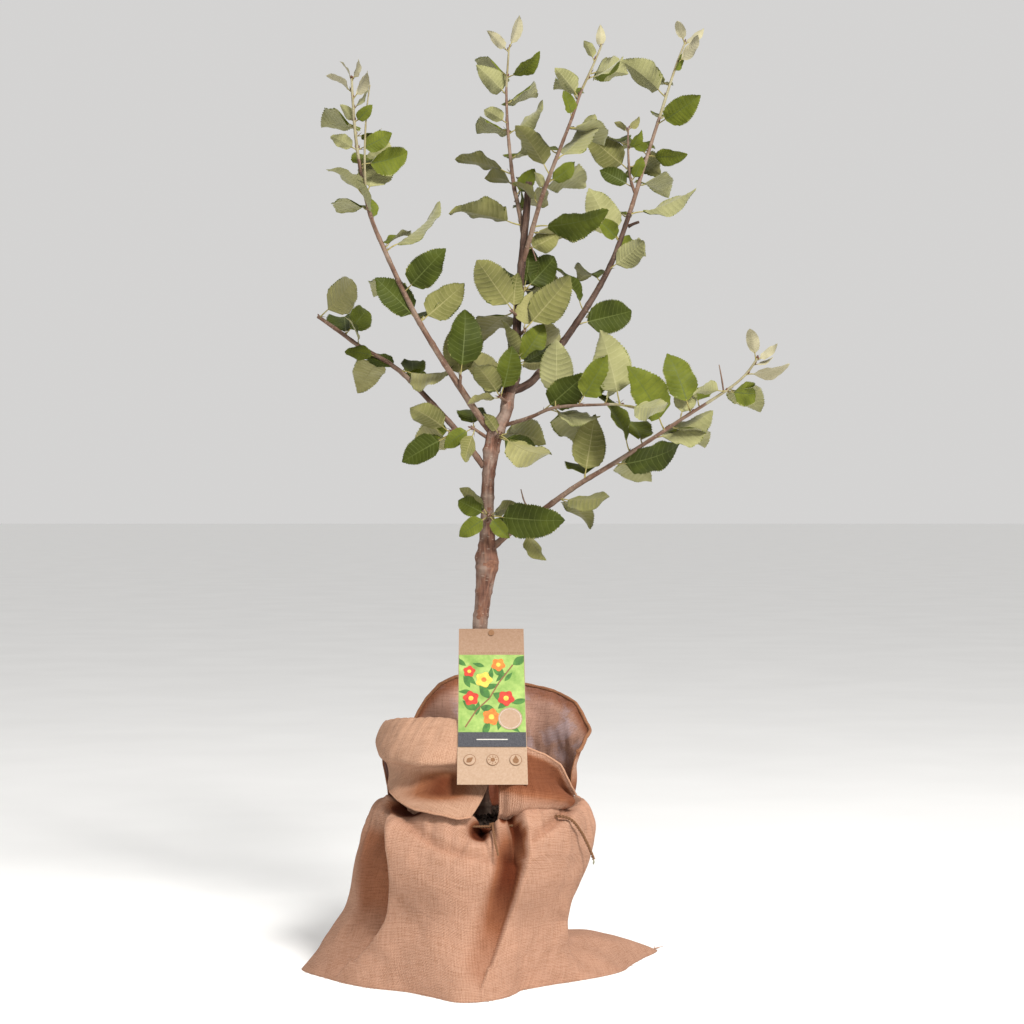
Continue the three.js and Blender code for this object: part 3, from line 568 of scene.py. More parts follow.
def jute(name, light, middle, dark, roughness, strength, film=False):
    """Woven jute: uneven two-way threads with dark gaps between them, thick slubs and worn pale
    patches; where filmed, glossy islands with a painted sheen on the thread crowns; browner and darker
    where painted shade is stored."""
    look = Look(name, roughness, Specular_IOR_Level=0.15)
    surface = look.add("TexCoord", out="UV")
    height, where = weave(look, surface)
    slubs = []
    for sizes in ((22.22, 1.613), (1.613, 22.22)):
        stretched = look.add("Mapping", surface, Scale=per_metre(*sizes))
        slubs.append(look.add("TexNoise", stretched, Scale=1.0, Detail=3.0, Roughness=0.55))
    thick = look.add("Math", look.add("Math", *slubs, operation="ADD"), 0.5, operation="MULTIPLY")
    thick = look.add("Math", thick, 0.5, operation="SUBTRACT")
    thread = look.add("Math", thick, 2.0, height, operation="MULTIPLY_ADD")
    base = look.add("ValToRGB", thread, stops=((-0.1, dark), (0.45, middle), (1.0, light)))
    broad = look.add("Mapping", surface, Scale=per_metre(62.5, 62.5))
    patches = look.add("TexNoise", broad, Scale=1.0, Detail=4.0, Roughness=0.55)
    worn = look.add("ValToRGB", patches, stops=((0.3, 0.84), (0.7, 1.0)))
    base = look.add("Mix", 1.0, data_type="RGBA", blend_type="MULTIPLY", _6=base, _7=worn, out=2)
    if film:
        islands = look.add("Mapping", surface, Scale=per_metre(38.46, 29.41))
        gloss = look.add("TexNoise", islands, Scale=1.0, Detail=3.0, Roughness=0.6, Distortion=0.6)
        shine = look.add("ValToRGB", gloss, stops=((0.48, 0.0), (0.62, 1.0)))
        # Painted sheen: pale lilac on the thread crowns of the filmed islands, with lower roughness there.
        crown = look.add("Math", height, 1.6, operation="POWER")
        crown = look.add("Math", crown, shine, operation="MULTIPLY")
        for cover, share, tone in ((shine, 0.3, FILM_SHADE), (crown, 0.7, FILM_PAINTED_SHEEN)):
            cover = look.add("Math", cover, share, operation="MULTIPLY")
            base = look.add("Mix", cover, data_type="RGBA", _6=base, _7=tone, out=2)
        rough = look.add("ValToRGB", shine, stops=((0.0, 0.85), (1.0, 0.35)))
        look.links.new(rough, look.shader.inputs["Roughness"])
    # Painted shade: the stored value darkens and browns the cloth where shade falls.
    soiled = look.add("Attribute", attribute_name="soiled", out="Fac")
    painted_shade_ramp = look.add("ValToRGB", soiled, stops=((0.0, "#FFFFFF"), (0.5, PAINTED_SHADE_MID), (1.0, PAINTED_SHADE_DARK)))
    base = look.add("Mix", 1.0, data_type="RGBA", blend_type="MULTIPLY", _6=base, _7=painted_shade_ramp, out=2)
    fluff = look.add("TexNoise", where, Scale=1000 / 0.909, Detail=2.0, Roughness=0.55)
    rise = look.add("Math", fluff, 0.3, thread, operation="MULTIPLY_ADD")
    return look.finish(base, rise, 0.0004, strength)


def bark(name, light, middle, dark, bloom, spots):
    """Young bark: long streaks, a grey bloom in patches and pale crosswise pores."""
    look = Look(name, 0.75, Specular_IOR_Level=0.35)
    surface = look.add("TexCoord", out="UV")
    grain = []
    for across, along, detail in ((2.381, 26.32, 4.0), (18.18, 38.46, 3.0), (40, 3.846, 3.0)):
        stretched = look.add("Mapping", surface, Scale=per_metre(across, along))
        grain.append(look.add("TexNoise", stretched, Scale=1.0, Detail=detail, Roughness=0.6))
    streaks, patches, rings = grain
    spread = look.add("Mapping", surface, Scale=per_metre(6.667, 3.03))
    pores = look.add("TexVoronoi", spread, Scale=1.0)
    dots = look.add("ValToRGB", pores, stops=((0.10, 1.0), (0.24, 0.0)))
    base = look.add("ValToRGB", streaks, stops=((0.28, dark), (0.5, middle), (0.72, light)))
    cover = look.add("ValToRGB", patches, stops=((0.42, 0.0), (0.62, 0.8)))
    base = look.add("Mix", cover, data_type="RGBA", _6=base, _7=bloom, out=2)
    shade = look.add("ValToRGB", rings, stops=((0.3, 0.78), (0.6, 1.0)))
    base = look.add("Mix", 1.0, data_type="RGBA", blend_type="MULTIPLY", _6=base, _7=shade, out=2)
    cover = look.add("Math", dots, 0.55, operation="MULTIPLY")
    base = look.add("Mix", cover, data_type="RGBA", _6=base, _7=spots, out=2)
    rise = look.add("Math", streaks, 0.7, operation="MULTIPLY")
    for part in (dots, rings):
        rise = look.add("Math", part, 0.5, rise, operation="MULTIPLY_ADD")
    return look.finish(base, rise, 0.0006, 0.8)


def leaf_skin(name, light, middle, dark, felt=0.0):
    """A leaf's face: a fine net of small veins and mottling. Above it is smooth and the net is
    raised between the veins; below, a felt of pale hairs makes it dull and the veins stand out."""
    look = Look(name, 0.85 if felt else 0.6, Specular_IOR_Level=0.1, Sheen_Weight=felt)
    surface = look.add("TexCoord", out="UV")
    net = look.add("TexVoronoi", surface, Scale=1000 / 2.381, feature="DISTANCE_TO_EDGE")
    cells = look.add("ValToRGB", net, stops=((0.02, 0.0), (0.16, 1.0)))
    place = look.add("TexCoord", out="Object")
    mottle = look.add("TexNoise", place, Scale=1000 / 26.32, Detail=4.0, Roughness=0.6)
    fine = look.add("TexNoise", surface, Scale=1000 / 1.4286, Detail=2.0, Roughness=0.55)
    base = look.add("ValToRGB", mottle, stops=((0.28, dark), (0.5, middle), (0.74, light)))
    veins = look.add("Math", 1.0, cells, operation="SUBTRACT")
    veins = look.add("Math", veins, 0.24 if felt else 0.12, operation="MULTIPLY")
    base = look.add("Mix", veins, data_type="RGBA", _6=base, _7=light, out=2)
    cover = look.add("Math", fine, 0.18, operation="MULTIPLY")
    base = look.add("Mix", cover, data_type="RGBA", _6=base, _7=dark, out=2)
    rise = look.add("Math", cells, -0.8 if felt else 0.8, fine, operation="MULTIPLY_ADD")
    return look.finish(base, rise, 0.00005, 0.5)


def plain_fibre(name, light, dark, grain, roughness=0.85, bump=0.0003):
    """A dull fibrous surface with light and dark grain of a size in millimetres."""
    look = Look(name, roughness, Specular_IOR_Level=0.25)
    place = look.add("TexCoord", out="Object")
    fibres = look.add("TexNoise", place, Scale=1000 / grain, Detail=4.0, Roughness=0.65)
    base = look.add("ValToRGB", fibres, stops=((0.3, dark), (0.7, light)))
    return look.finish(base, fibres, bump, 0.7)


def kraft_card():
    """Fibrous brown card, darker and redder towards its head where hands have held it."""
    look = Look("kraft card", 0.8, Specular_IOR_Level=0.25)
    place = look.add("TexCoord", out="Object")
    fibres = look.add("TexNoise", place, Scale=1000 / 2.381, Detail=4.0, Roughness=0.65)
    down = look.add("SeparateXYZ", look.add("TexCoord", out="UV"), out="Y")
    down = look.add("Math", down, 1000 / CARD_HIGH, operation="MULTIPLY")
    worn = look.add("ValToRGB", down, stops=((0.0, "#D8CEC9"), (0.6, "#FFFFFF")))
    base = look.add("ValToRGB", fibres, stops=((0.3, "#9C8169"), (0.7, "#AA917C")))
    base = look.add("Mix", 1.0, data_type="RGBA", blend_type="MULTIPLY", _6=base, _7=worn, out=2)
    return look.finish(base, fibres, 0.0001, 0.7)


# Cloth: pinkish tan jute, its filmed inner side shiny in patches with a painted sheen, its hems frayed or
# rolled dark.
THREAD_PITCH = 1.6
THREAD_WANDER = 0.9
# Tones of the painted shade that darkens the cloth in its folds, hollows and recesses.
PAINTED_SHADE_MID = "#CBAA92"
PAINTED_SHADE_DARK = "#86573D"
FILM_SHADE = "#94685A"
# Painted sheen of the film.
FILM_PAINTED_SHEEN = "#C9BCC4"
JUTE = jute("jute cloth", "#BC947E", "#A97E64", "#7D5640", 0.95, 0.7)
JUTE_FILM = jute("jute cloth with a thin film", "#C59C8A", "#AF8570", "#7F5B49", 0.85, 0.49, True)
JUTE_INNER = jute("jute cloth, inner side", "#BB957D", "#A88167", "#7D5A45", 0.95, 0.49)
JUTE_EDGE = plain_fibre("frayed cloth edge", "#BC957C", "#8A5F45", 1.111)
DARK_EDGE = plain_fibre("darker rolled edge", "#97694B", "#6A432B", 1.111)
# Bark: reddish brown and bloomed on the trunk, dark on the leader, olive at the tips.
BARK = bark("young trunk bark", "#86614C", "#654334", "#40261B", "#8A796D", "#A08E7E")
DARK_BARK = bark("dark leader bark", "#56392B", "#39251A", "#24160E", "#624E42", "#7F6857")
SHOOT_BARK = bark("shoot bark", "#7F6350", "#634839", "#463228", "#897767", "#9F8A76")
GREEN_BARK = bark("green shoot tip", "#978C66", "#7E7352", "#60553B", "#9C967A", "#A39A7C")
SCAR = plain_fibre("healed scar", "#7E5844", "#5A3A2C", 2.0, 0.7, 0.0006)
# Leaves: deep olive green and slightly glossy above, greyish yellow-green and dull below.
UPPER_DARK = leaf_skin("leaf upper side, dark", "#444C17", "#363E11", "#292F0C")
UPPER_MID = leaf_skin("leaf upper side", "#545C1C", "#434A14", "#32390E")
UPPER_BRIGHT = leaf_skin("leaf upper side, bright", "#6A7029", "#565D1C", "#434A14")
UNDER_OLIVE = leaf_skin("leaf underside", "#7B7848", "#69683A", "#54552B", 0.2)
UNDER_PALE = leaf_skin("leaf underside, pale", "#949061", "#837F50", "#6D6B3F", 0.25)
UNDER_TENDER = leaf_skin("tender leaf underside", "#949266", "#858459", "#707048", 0.25)
YOUNG_SKIN = leaf_skin("young leaf", "#A8A287", "#9C967A", "#8A8466", 0.2)
VEIN_UPPER = plain_fibre("vein above", "#535B24", "#414A19", 1.667, 0.6, 0.0001)
VEIN_TENDER = plain_fibre("tender vein", "#9B996F", "#8B895F", 1.667, 0.85, 0.0001)
VEIN_UNDER = plain_fibre("vein below", "#888358", "#757147", 1.667, 0.85, 0.0001)
# Small things: waxy stalks, dry brown stipules and buds, rough twine, dark crumbly soil.
PETIOLE = plain_fibre("leaf stalk", "#9B9058", "#746B3E", 2.0, 0.7, 0.0001)
STIPULE = plain_fibre("dry stipule", "#634B33", "#39281D", 1.4286, 0.8, 0.0002)
BUD = plain_fibre("bud scales", "#704D3C", "#442A20", 1.25, 0.75, 0.0003)
TWINE = plain_fibre("twisted twine", "#8A6446", "#4E3424", 0.7143, 0.9, 0.0003)
FRAYED = plain_fibre("frayed twine end", "#A6A68C", "#6E7058", 1.111, 0.9, 0.0003)
SOIL = plain_fibre("moist potting soil", "#38281D", "#150E09", 3.846, 0.95, 0.002)
# Card and its inks: matt brown card, flat dull print on it.
KRAFT = kraft_card()
PRINT_BAND = plain_fibre("printed dark band", "#4E4E53", "#333337", 1.4286, 0.7, 0.0)
PRINT_LINE = plain_fibre("printed brown line", "#835F42", "#704F33", 1.4286, 0.7, 0.0)
PRINT_PALE = plain_fibre("printed pale mark", "#C8C4BD", "#AAA69F", 1.4286, 0.7, 0.0)
PRINT_BACK = plain_fibre("printed soft green", "#9CB262", "#65893B", 16.67, 0.5, 0.0)
PRINT_LEAF = plain_fibre("printed leaf green", "#487A31", "#2A5322", 6.25, 0.5, 0.0)
PRINT_RED = plain_fibre("printed red", "#C83F28", "#9B261F", 4.545, 0.5, 0.0)
PRINT_ORANGE = plain_fibre("printed orange", "#DC7F2F", "#C85826", 4.545, 0.5, 0.0)
PRINT_YELLOW = plain_fibre("printed yellow", "#E0C253", "#CD9B37", 4.545, 0.5, 0.0)


# Wrapped root ball

FOOT_CHART = smooth_line(FOOT, 6).tolist()


def bump(angle, centre, spread):
    """1 at an angle of the ball, falling to nothing on both sides."""
    away = (angle - centre + 180) % 360 - 180
    return np.exp(-((away / spread) ** 2))


def table(rows, key, column):
    """Value of a column between the rows of a table."""
    rows = sorted(rows)
    return np.interp(key, [row[0] for row in rows], [row[column] for row in rows])


def pressed_in(place, angle, z):
    """How far the wall falls back at a place, fuller with height."""
    near = bump(angle, place["angle"], place["spread"])
    return place["depth"] * near * smoothstep(z, place["from"], place["to"])


def ball_radius(angle, radius, z):
    """Radius of the cloth over the ball, with its corners spread on the floor."""
    first = FOOT[0][0]
    turned = first - ((first - angle) % 360)
    foot = table(FOOT_CHART, turned, 1)
    around = [turned + FRONT_FOLD["soft"] * step / 2 for step in (-2, -1, 0, 1, 2)]
    soft = sum(table(FOOT_CHART, a, 1) for a in around) / len(around)
    ahead = bump(angle, FRONT_FOLD["angle"], FRONT_FOLD["spread"]) * smoothstep(z, 0, FRONT_FOLD["to"])
    foot = between(foot, soft, ahead)
    trailing = bump(angle, TRAILING_AT["angle"], TRAILING_AT["spread"])
    share = smoothstep(trailing, TRAILING_AT["from"], TRAILING_AT["to"])
    ridge = smoothstep(foot - FOOT_RADIUS, *RIDGE_REACH)
    reach = []
    for corner in (CORNERS["standing"], CORNERS["trailing"]):
        power = between(corner["beside"], corner["ridge"], ridge)
        top = smoothstep(corner["rise"] - z, 0, corner["top"])
        reach.append((foot - FOOT_RADIUS) * np.maximum(0, 1 - z / corner["rise"]) ** power * top)
    radius = radius + between(reach[0], reach[1], share)
    return radius - pressed_in(DOME, angle, z) - pressed_in(LEFT_TUCK, angle, z)


def crease(line, depth, left, right, lip, reach, fade, soil=0.0, start=0.02, painted_shade_ramp=(0.4, 1.15)):
    """A crease as seen from the front: its places [x, z] from top to bottom, how deep its valley is
    and how wide to the left and right, height and width of the lip on the right, what is left of it
    at its end, how dark its painted shade is, the share of its line after which it is full, and
    between how many of its widths the painted shade fades."""
    return {"line": line, "depth": depth, "left": left, "right": right, "lip": lip, "reach": reach,
            "fade": fade, "soil": soil, "start": start, "painted_shade_ramp": painted_shade_ramp}


# A crease's soil sets how dark its painted shade is.
CREASES = [
    crease([[40, 190], [43, 165], [45, 126], [41, 104], [27, 60], [10, 10]], 19, 30, 2.5, 13, 26, 0.25,
           soil=1.0, start=0.42),
    crease([[-104, 178], [-104, 140], [-103, 104], [-107, 60], [-140, 18]], 30, 27, 3.0, 11, 24, 0.15,
           soil=0.48, start=0.16, painted_shade_ramp=(0.95, 1.55)),
    crease([[-96, 190], [-84, 170], [-64, 152], [-40, 138], [0, 128], [38, 124]], 6.0, 5, 10, 0, 9,
           0.35, soil=0.12),
    crease([[2, 166], [6, 146], [12, 120]], 5.5, 4, 3, 2, 6, 0.1),
    crease([[-10, 162], [-18, 142], [-32, 122]], 5.5, 4, 4, 1.5, 6, 0.1),
    crease([[14, 166], [20, 148], [28, 130]], 5.0, 3, 3, 1.5, 5, 0.2),
    crease([[104, 186], [84, 168], [62, 152], [46, 140]], 8, 9, 5, 3, 10, 0.1, soil=0.15),
    crease([[36, 190], [41, 174], [47, 154], [47, 128]], 13, 8, 2, 6, 14, 0.5, soil=1.0,
           painted_shade_ramp=(0.5, 1.0)),
    crease([[120, 160], [108, 130], [96, 96]], 3.0, 8, 6, 1.5, 12, 0.1),
    crease([[92, 60], [98, 30], [120, 6]], 3.5, 9, 6, 1.5, 12, 0.5),
    crease([[-58, 64], [-70, 36], [-60, 6]], 3.0, 16, 14, 0, 14, 0.6),
]
# Hollows seen from the front: place [x, z], width, height and depth.
HOLLOWS = [[-1, 161, 12, 11, 24], [9, 177, 6, 12, 16], [-86, 186, 21, 9, 16], [28, 178, 6, 8, 8]]


def crease_depth(x, z, crease):
    """Height field of one crease, a valley with a lip on its right side, and its painted shade."""
    line = smooth_line(crease["line"], 4)
    best = np.full(x.shape, 1e9)
    signed = np.zeros(x.shape)
    along = np.zeros(x.shape)
    steps = len(line) - 1
    for i in range(steps):
        (ax, az), (bx, bz) = line[i], line[i + 1]
        dx, dz = bx - ax, bz - az
        t = np.clip(((x - ax) * dx + (z - az) * dz) / (dx * dx + dz * dz), 0, 1)
        away = np.hypot(x - ax - t * dx, z - az - t * dz)
        closer = away < best
        best = np.where(closer, away, best)
        side = np.sign(-(x - ax) * dz + (z - az) * dx)
        signed = np.where(closer, away * side, signed)
        along = np.where(closer, (i + t) / steps, along)
    start = crease["start"]
    strength = between(1.0, crease["fade"], along) * smoothstep(along, -0.04, start)
    width = np.where(signed < 0, crease["left"], crease["right"])
    valley = crease["depth"] * np.exp(-((signed / width) ** 2))
    edge = 1 - np.exp(-((np.maximum(signed, 0) / crease["right"]) ** 2))
    lip = crease["lip"] * np.exp(-((signed / crease["reach"]) ** 2)) * edge
    shaded = 1 - smoothstep(np.abs(signed) / width, *crease["painted_shade_ramp"])
    faded = between(1.0, crease["fade"], smoothstep(along, 0.6, 1.0))
    faded = faded * smoothstep(along, 0.3 * start, start)
    return strength * (lip - valley), faded * shaded * crease["soil"]


def cloud(points, size, seed):
    """Smooth noise from -1 to 1 at each point, its grain about the given size."""
    flat = points.reshape(-1, 3) / size + seed
    values = [noise.noise(Vector(p)) for p in flat]
    return np.array(values).reshape(points.shape[:-1])


BALL_ROWS = 170
BALL_COLUMNS = 560
# Gathers at the tie: how many round the neck, their size and where they start. Unevenness of the
# cloth, broad and small: height, grain and seed.
GATHERS = ((23, 1.6, 0.4), (37, 1.1, 1.9), (61, 0.7, 4.0))
UNEVEN = ((3.2, 60.0, 3.1), (1.3, 20.0, 8.7))
FOOT_THREADS = 150


def ball_sheet(angle):
    """Radius, height and distance from the foot of the plain bag, in evenly spaced rows."""
    profile = smooth_line(WALL, 30)
    crest = int(np.argmax(profile[:, 1]))
    radius, height = profile[:, 0][:, None], np.maximum(profile[:, 1], 0)[:, None]
    past = (np.arange(len(profile)) > crest)[:, None]
    tie = np.clip((height - SOIL_Z) / SHOULDER_HEIGHT, 0, 1)
    share = np.where(past, np.minimum(1, tie * 1.6), np.where(height > SHOULDER_FROM, tie, 0))
    lift = share * sum(h * bump(angle, a, s) for a, s, h in SHOULDER_BUMPS + CREST)
    wall = ball_radius(angle, radius, height)
    r = np.where(past, radius + (wall - radius) * tie, wall)
    z = height + lift
    sheet = np.zeros((3, BALL_ROWS, BALL_COLUMNS + 1))
    for k in range(BALL_COLUMNS + 1):
        steps = np.hypot(np.diff(r[:, k]), np.diff(z[:, k]))
        run = np.concatenate([[0], np.cumsum(steps)])
        at = np.linspace(0, run[-1], BALL_ROWS)
        sheet[:, :, k] = np.interp(at, run, r[:, k]), np.interp(at, run, z[:, k]), at
    return sheet


def front_folds(points):
    """How far the creases and hollows of the front push the cloth out, and how much painted shade darkens
    them.
    """
    k = (points[..., 1] - EYE[1]) / -EYE[1]
    x_seen = EYE[0] + (points[..., 0] - EYE[0]) / k
    z_seen = EYE[2] + (points[..., 2] - EYE[2]) / k
    push, soiled = np.zeros(k.shape), np.zeros(k.shape)
    for fold in CREASES:
        change, hidden = crease_depth(x_seen, z_seen, fold)
        push += change
        soiled = np.maximum(soiled, hidden)
    for x, height, wide, high, depth in HOLLOWS:
        dip = np.exp(-(((x_seen - x) / wide) ** 2) - ((z_seen - height) / high) ** 2)
        push -= depth * dip
        # Painted shade in the middle of each hollow.
        soiled = np.maximum(soiled, smoothstep(dip, 0.15, 0.6))
    return push, soiled * smoothstep(-points[..., 1], -10, 20)


def fray_foot(build, foot, turn, slot):
    """Short threads along the hem on the floor, and a tuft at the tip of the long corner."""
    random = seeded(61)
    for _ in range(FOOT_THREADS):
        k = int(next(random) * BALL_COLUMNS)
        aim = np.array([np.cos(turn[k]), np.sin(turn[k]), 0.5 * next(random)])
        aim = aim + np.array([-aim[1], aim[0], 0]) * (next(random) - 0.5) * 2
        length = between(2, 7, next(random) ** 2)
        add_thread(build, foot[k] + [0, 0, 0.4], aim, length, random, slot)
    tip = int(np.argmax(np.linalg.norm(foot[:, :2], axis=1)))
    for away in (-0.2, 0.1, 0.5):
        aim = np.array([math.cos(turn[tip] + away), math.sin(turn[tip] + away), 0.3])
        start = foot[tip] * 0.99 + [0, 0, 0.6]
        add_thread(build, start, aim, 13 - 6 * abs(away), random, slot, 0.6)


def make_ball():
    """The cloth over the ball: a lofted bag that sags, gathers at the tie and spreads at its foot."""
    angle = np.linspace(-180, 180, BALL_COLUMNS + 1)[None, :]
    r, z, down = ball_sheet(angle)
    a = np.radians(angle)
    points = np.stack([r * np.cos(a), r * np.sin(a), z], -1)
    push, soiled = front_folds(points)
    front = smoothstep(-points[..., 1], 0, 36)
    push *= front
    level = smoothstep(z, 100, 178)
    gathers = np.zeros(r.shape)
    for count, size, phase in GATHERS:
        gathers += size * np.sin(a * count + phase + 1.4 * np.sin(3 * a + phase))
    push += gathers * level ** 2 * (1 - 0.6 * front)
    push += sum(high * cloud(points, grain, seed) for high, grain, seed in UNEVEN)
    row = np.arange(BALL_ROWS)[:, None]
    push *= smoothstep(z, -6, 16) * smoothstep(row, 0, 5) * smoothstep(BALL_ROWS - 1 - row, 0, 8)
    out = np.stack([np.cos(a) + 0 * r, np.sin(a) + 0 * r, 0.45 * level], -1)
    points = points + out * push[..., None]
    points[..., 2] = np.maximum(points[..., 2], 0)
    points[:, -1] = points[:, 0]
    steps = np.linalg.norm(np.diff(points, axis=1), axis=-1)
    around = np.concatenate([np.zeros((BALL_ROWS, 1)), np.cumsum(steps, axis=1)], axis=1)
    middle = int(round((DOME["angle"] + 180) / 360 * BALL_COLUMNS))
    around = around - around[:, middle:middle + 1]
    build = Build()
    build.sheet(points, 0, np.stack([around, down], -1))
    build.sheet(np.stack([points[0], points[0] * 0.4, points[0] * 0.0]), 0, flip=True)
    rings = [points[-1], points[-1] * [0.8, 0.8, 1.0], points[-1] * [0.0, 0.0, 1.0]]
    build.sheet(np.stack(rings), 1)
    fray_foot(build, points[0], a[0], 2)
    ball = build.finish("wrapped_ball", [JUTE, SOIL, JUTE_EDGE])
    # Painted shade of the creases and hollows, stored for the cloth material.
    add_painted_shade(ball, soiled.ravel())
    weld(ball)
    return ball


CRUMBS = 700


def make_soil():
    """Loose crumbs of soil in the mouth of the sack."""
    random = seeded(77)
    build = Build()
    rings, sides = 26, 72
    reach = NECK_RADIUS - 3
    rr = np.linspace(0, reach, rings)[:, None]
    aa = np.linspace(0, 2 * math.pi, sides + 1)[None, :]
    flat = np.stack([rr * np.cos(aa), rr * np.sin(aa), SOIL_Z + 0 * rr * aa], -1)
    rise = 2.2 + 2.2 * cloud(flat, 22.0, 1.3) + 1.1 * cloud(flat, 6.0, 5.3)
    flat[..., 2] += np.maximum(rise, 0.3) * smoothstep(rr, reach + 0.1, reach - 12)
    flat[:, -1] = flat[:, 0]
    build.sheet(flat, 0)
    corners = np.array([[1, 0, 0], [-1, 0, 0], [0, 1, 0], [0, -1, 0], [0, 0, 1], [0, 0, -1]], float)
    faces = [[0, 2, 4], [2, 1, 4], [1, 3, 4], [3, 0, 4], [2, 0, 5], [1, 2, 5], [3, 1, 5], [0, 3, 5]]
    for _ in range(CRUMBS):
        away = (reach - 4) * math.sqrt(next(random))
        turn = 2 * math.pi * next(random)
        size = 0.7 + 2.0 * next(random) ** 2
        if away < 12:
            continue
        lump = corners * size * np.array([between(0.7, 1.3, next(random)) for _ in range(3)])
        height = SOIL_Z + 2.6 + 1.5 * next(random)
        build.add(lump + [away * math.cos(turn), away * math.sin(turn), height], faces, 0, lump[:, :2])
    return build.finish("soil", [SOIL])


# Cloth above the tie

# Where along a flap from tie to hem its slant is given.
SLANT_AT = (0.0, 0.2, 0.5, 0.78, 1.0)


def back_section(angle):
    """Side view of the back wall at an angle, as radius and height."""
    hem_radius, hem_z = table(BACK_HEM, angle, 1), table(BACK_HEM, angle, 2)
    height = hem_z - NECK_TOP
    return [
        [NECK_RADIUS, SOIL_Z + 0.4], [NECK_RADIUS, NECK_TOP], [100, NECK_TOP + 0.16 * height],
        [104, NECK_TOP + 0.42 * height], [106, NECK_TOP + 0.72 * height], [hem_radius, hem_z],
    ]


def right_section(angle):
    """Side view of the right flap, which bulges between its two edges."""
    hem_radius, hem_z = table(RIGHT_HEM, angle, 1), table(RIGHT_HEM, angle, 2)
    height = hem_z - NECK_TOP
    belly = smoothstep(min(angle + 80, -16 - angle), 0, 14)
    over = NECK_TOP + 6
    return [
        [NECK_RADIUS, SOIL_Z + 0.4], [NECK_RADIUS, NECK_TOP], [91, over],
        [between(92, 104, belly), over + 4], [between(92, 114, belly), over + 4 + 0.1 * height],
        [between(93, 117, belly), over + 4 + 0.28 * height],
        [between(88, 101, belly), over + 0.62 * height], [hem_radius, hem_z],
    ]


def left_section(angle):
    """Side view of the left flap, which rises, rolls over and hangs down."""
    places = []
    for k in range(1, len(LEFT_FLAP[0])):
        rows = [[row[0], row[k][0], row[k][1]] for row in LEFT_FLAP]
        places.append([table(rows, angle, 1), table(rows, angle, 2)])
    return [[NECK_RADIUS, SOIL_Z + 0.4], [NECK_RADIUS, NECK_TOP]] + places


def make_flap(name, start, end, section, *, columns, rows, wrinkle, inside, edge, soil,
              hem=HEM_RADIUS, slant=(0, 0, 0, 0, 0)):
    """One flap: a sheet bent round the neck, wrinkled, given its thickness and a frayed edge.
    The slant turns its last part sideways, in degrees from tie to hem."""
    sheet = []
    lengths = []
    for angle in np.linspace(start, end, columns):
        line = smooth_line(section(angle), 8)
        run = distances(line)
        at = np.linspace(0, run[-1], rows)
        r, z = np.interp(at, run, line[:, 0]), np.interp(at, run, line[:, 1])
        leaned = np.interp(at / run[-1], SLANT_AT, slant)
        turn = np.radians(angle + leaned * ((angle - start) / (end - start)) ** 8)
        sheet.append(np.stack([r * np.cos(turn), r * np.sin(turn), z], -1))
        lengths.append(at)
    points = np.array(sheet)
    along = np.gradient(points, axis=0)
    upward = np.gradient(points, axis=1)
    normal = np.cross(along, upward)
    normal /= np.linalg.norm(normal, axis=-1)[..., None]
    share = np.linspace(0, 1, rows)[None, :]
    angle = np.radians(np.linspace(start, end, columns))[:, None]
    push = wrinkle * cloud(points, 34.0, 2.2) + 0.4 * wrinkle * cloud(points, 13.0, 6.1)
    push = push + 1.5 * np.sin(angle * 44 + 2.2 * np.sin(5 * angle)) * (1 - share) ** 2
    push = push * smoothstep(share, 0.0, 0.12)
    points = points + normal * push[..., None]
    # The soil function gives the flap's painted shade.
    soiled = soil(points, share + 0 * points[..., 0])
    around = np.degrees(angle) / 360 * 2 * math.pi * 105
    build = Build()
    build.sheet(points, 0, np.stack([around + 0 * share, np.array(lengths)], -1), flip=True)
    flap = build.finish(name, [JUTE, inside, edge])
    add_painted_shade(flap, soiled.ravel())
    pick(flap)
    thick = flap.modifiers.new("thickness", "SOLIDIFY")
    thick.thickness = CLOTH * MM
    thick.offset = 0
    thick.material_offset = 1
    thick.material_offset_rim = 2
    bpy.ops.object.modifier_apply(modifier=thick.name)
    pick(flap, make_hem(name + "_hem", points[:, -1], normal[:, -1], edge, hem))
    bpy.ops.object.join()
    return flap


def back_painted_shade(points, share):
    """Painted shade low on the back wall near the soil, where the sack's inside lies in shade, and a brown
    painted shade along the rolled rim.
    """
    damp = 1 - smoothstep(points[..., 2], 192, 236)
    return np.maximum(0.95 * damp, 0.55 * smoothstep(share, 0.86, 0.97))


def left_painted_shade(points, share):
    """Painted shade in the recess under the roll."""
    height = points[..., 2]
    angle = np.degrees(np.arctan2(points[..., 1], points[..., 0]))
    band = smoothstep(height, 198, 210) * (1 - smoothstep(height, 222, 238))
    return 0.95 * band * bump(angle, -116, 19) * smoothstep(share, 0.5, 0.62)


def right_painted_shade(points, share):
    """Painted shade: a browner band below the hem."""
    return 0.75 * smoothstep(share, 0.36, 0.55) * (1 - smoothstep(share, 0.9, 0.98))


def make_hem(name, line, normal, edge, radius):
    """The rolled edge of a flap with the threads that stick out of it."""
    random = seeded(len(line) + 5)
    build = Build()
    direction = headings(line)
    radii = radius * (1 + 0.25 * cloud(line, 9.0, 4.4))
    add_tube(build, line, direction, radii, 8, 0)
    for _ in range(int(len(line) * 0.5)):
        k = int(next(random) * (len(line) - 1))
        out = np.cross(direction[k], normal[k])
        aim = out * (0.4 + next(random)) + normal[k] * (next(random) - 0.5) * 1.6
        aim = aim + direction[k] * (next(random) - 0.5) * 2
        add_thread(build, line[k], aim, between(2.0, 6.0, next(random) ** 2), random, 0)
    return build.finish(name, [edge])


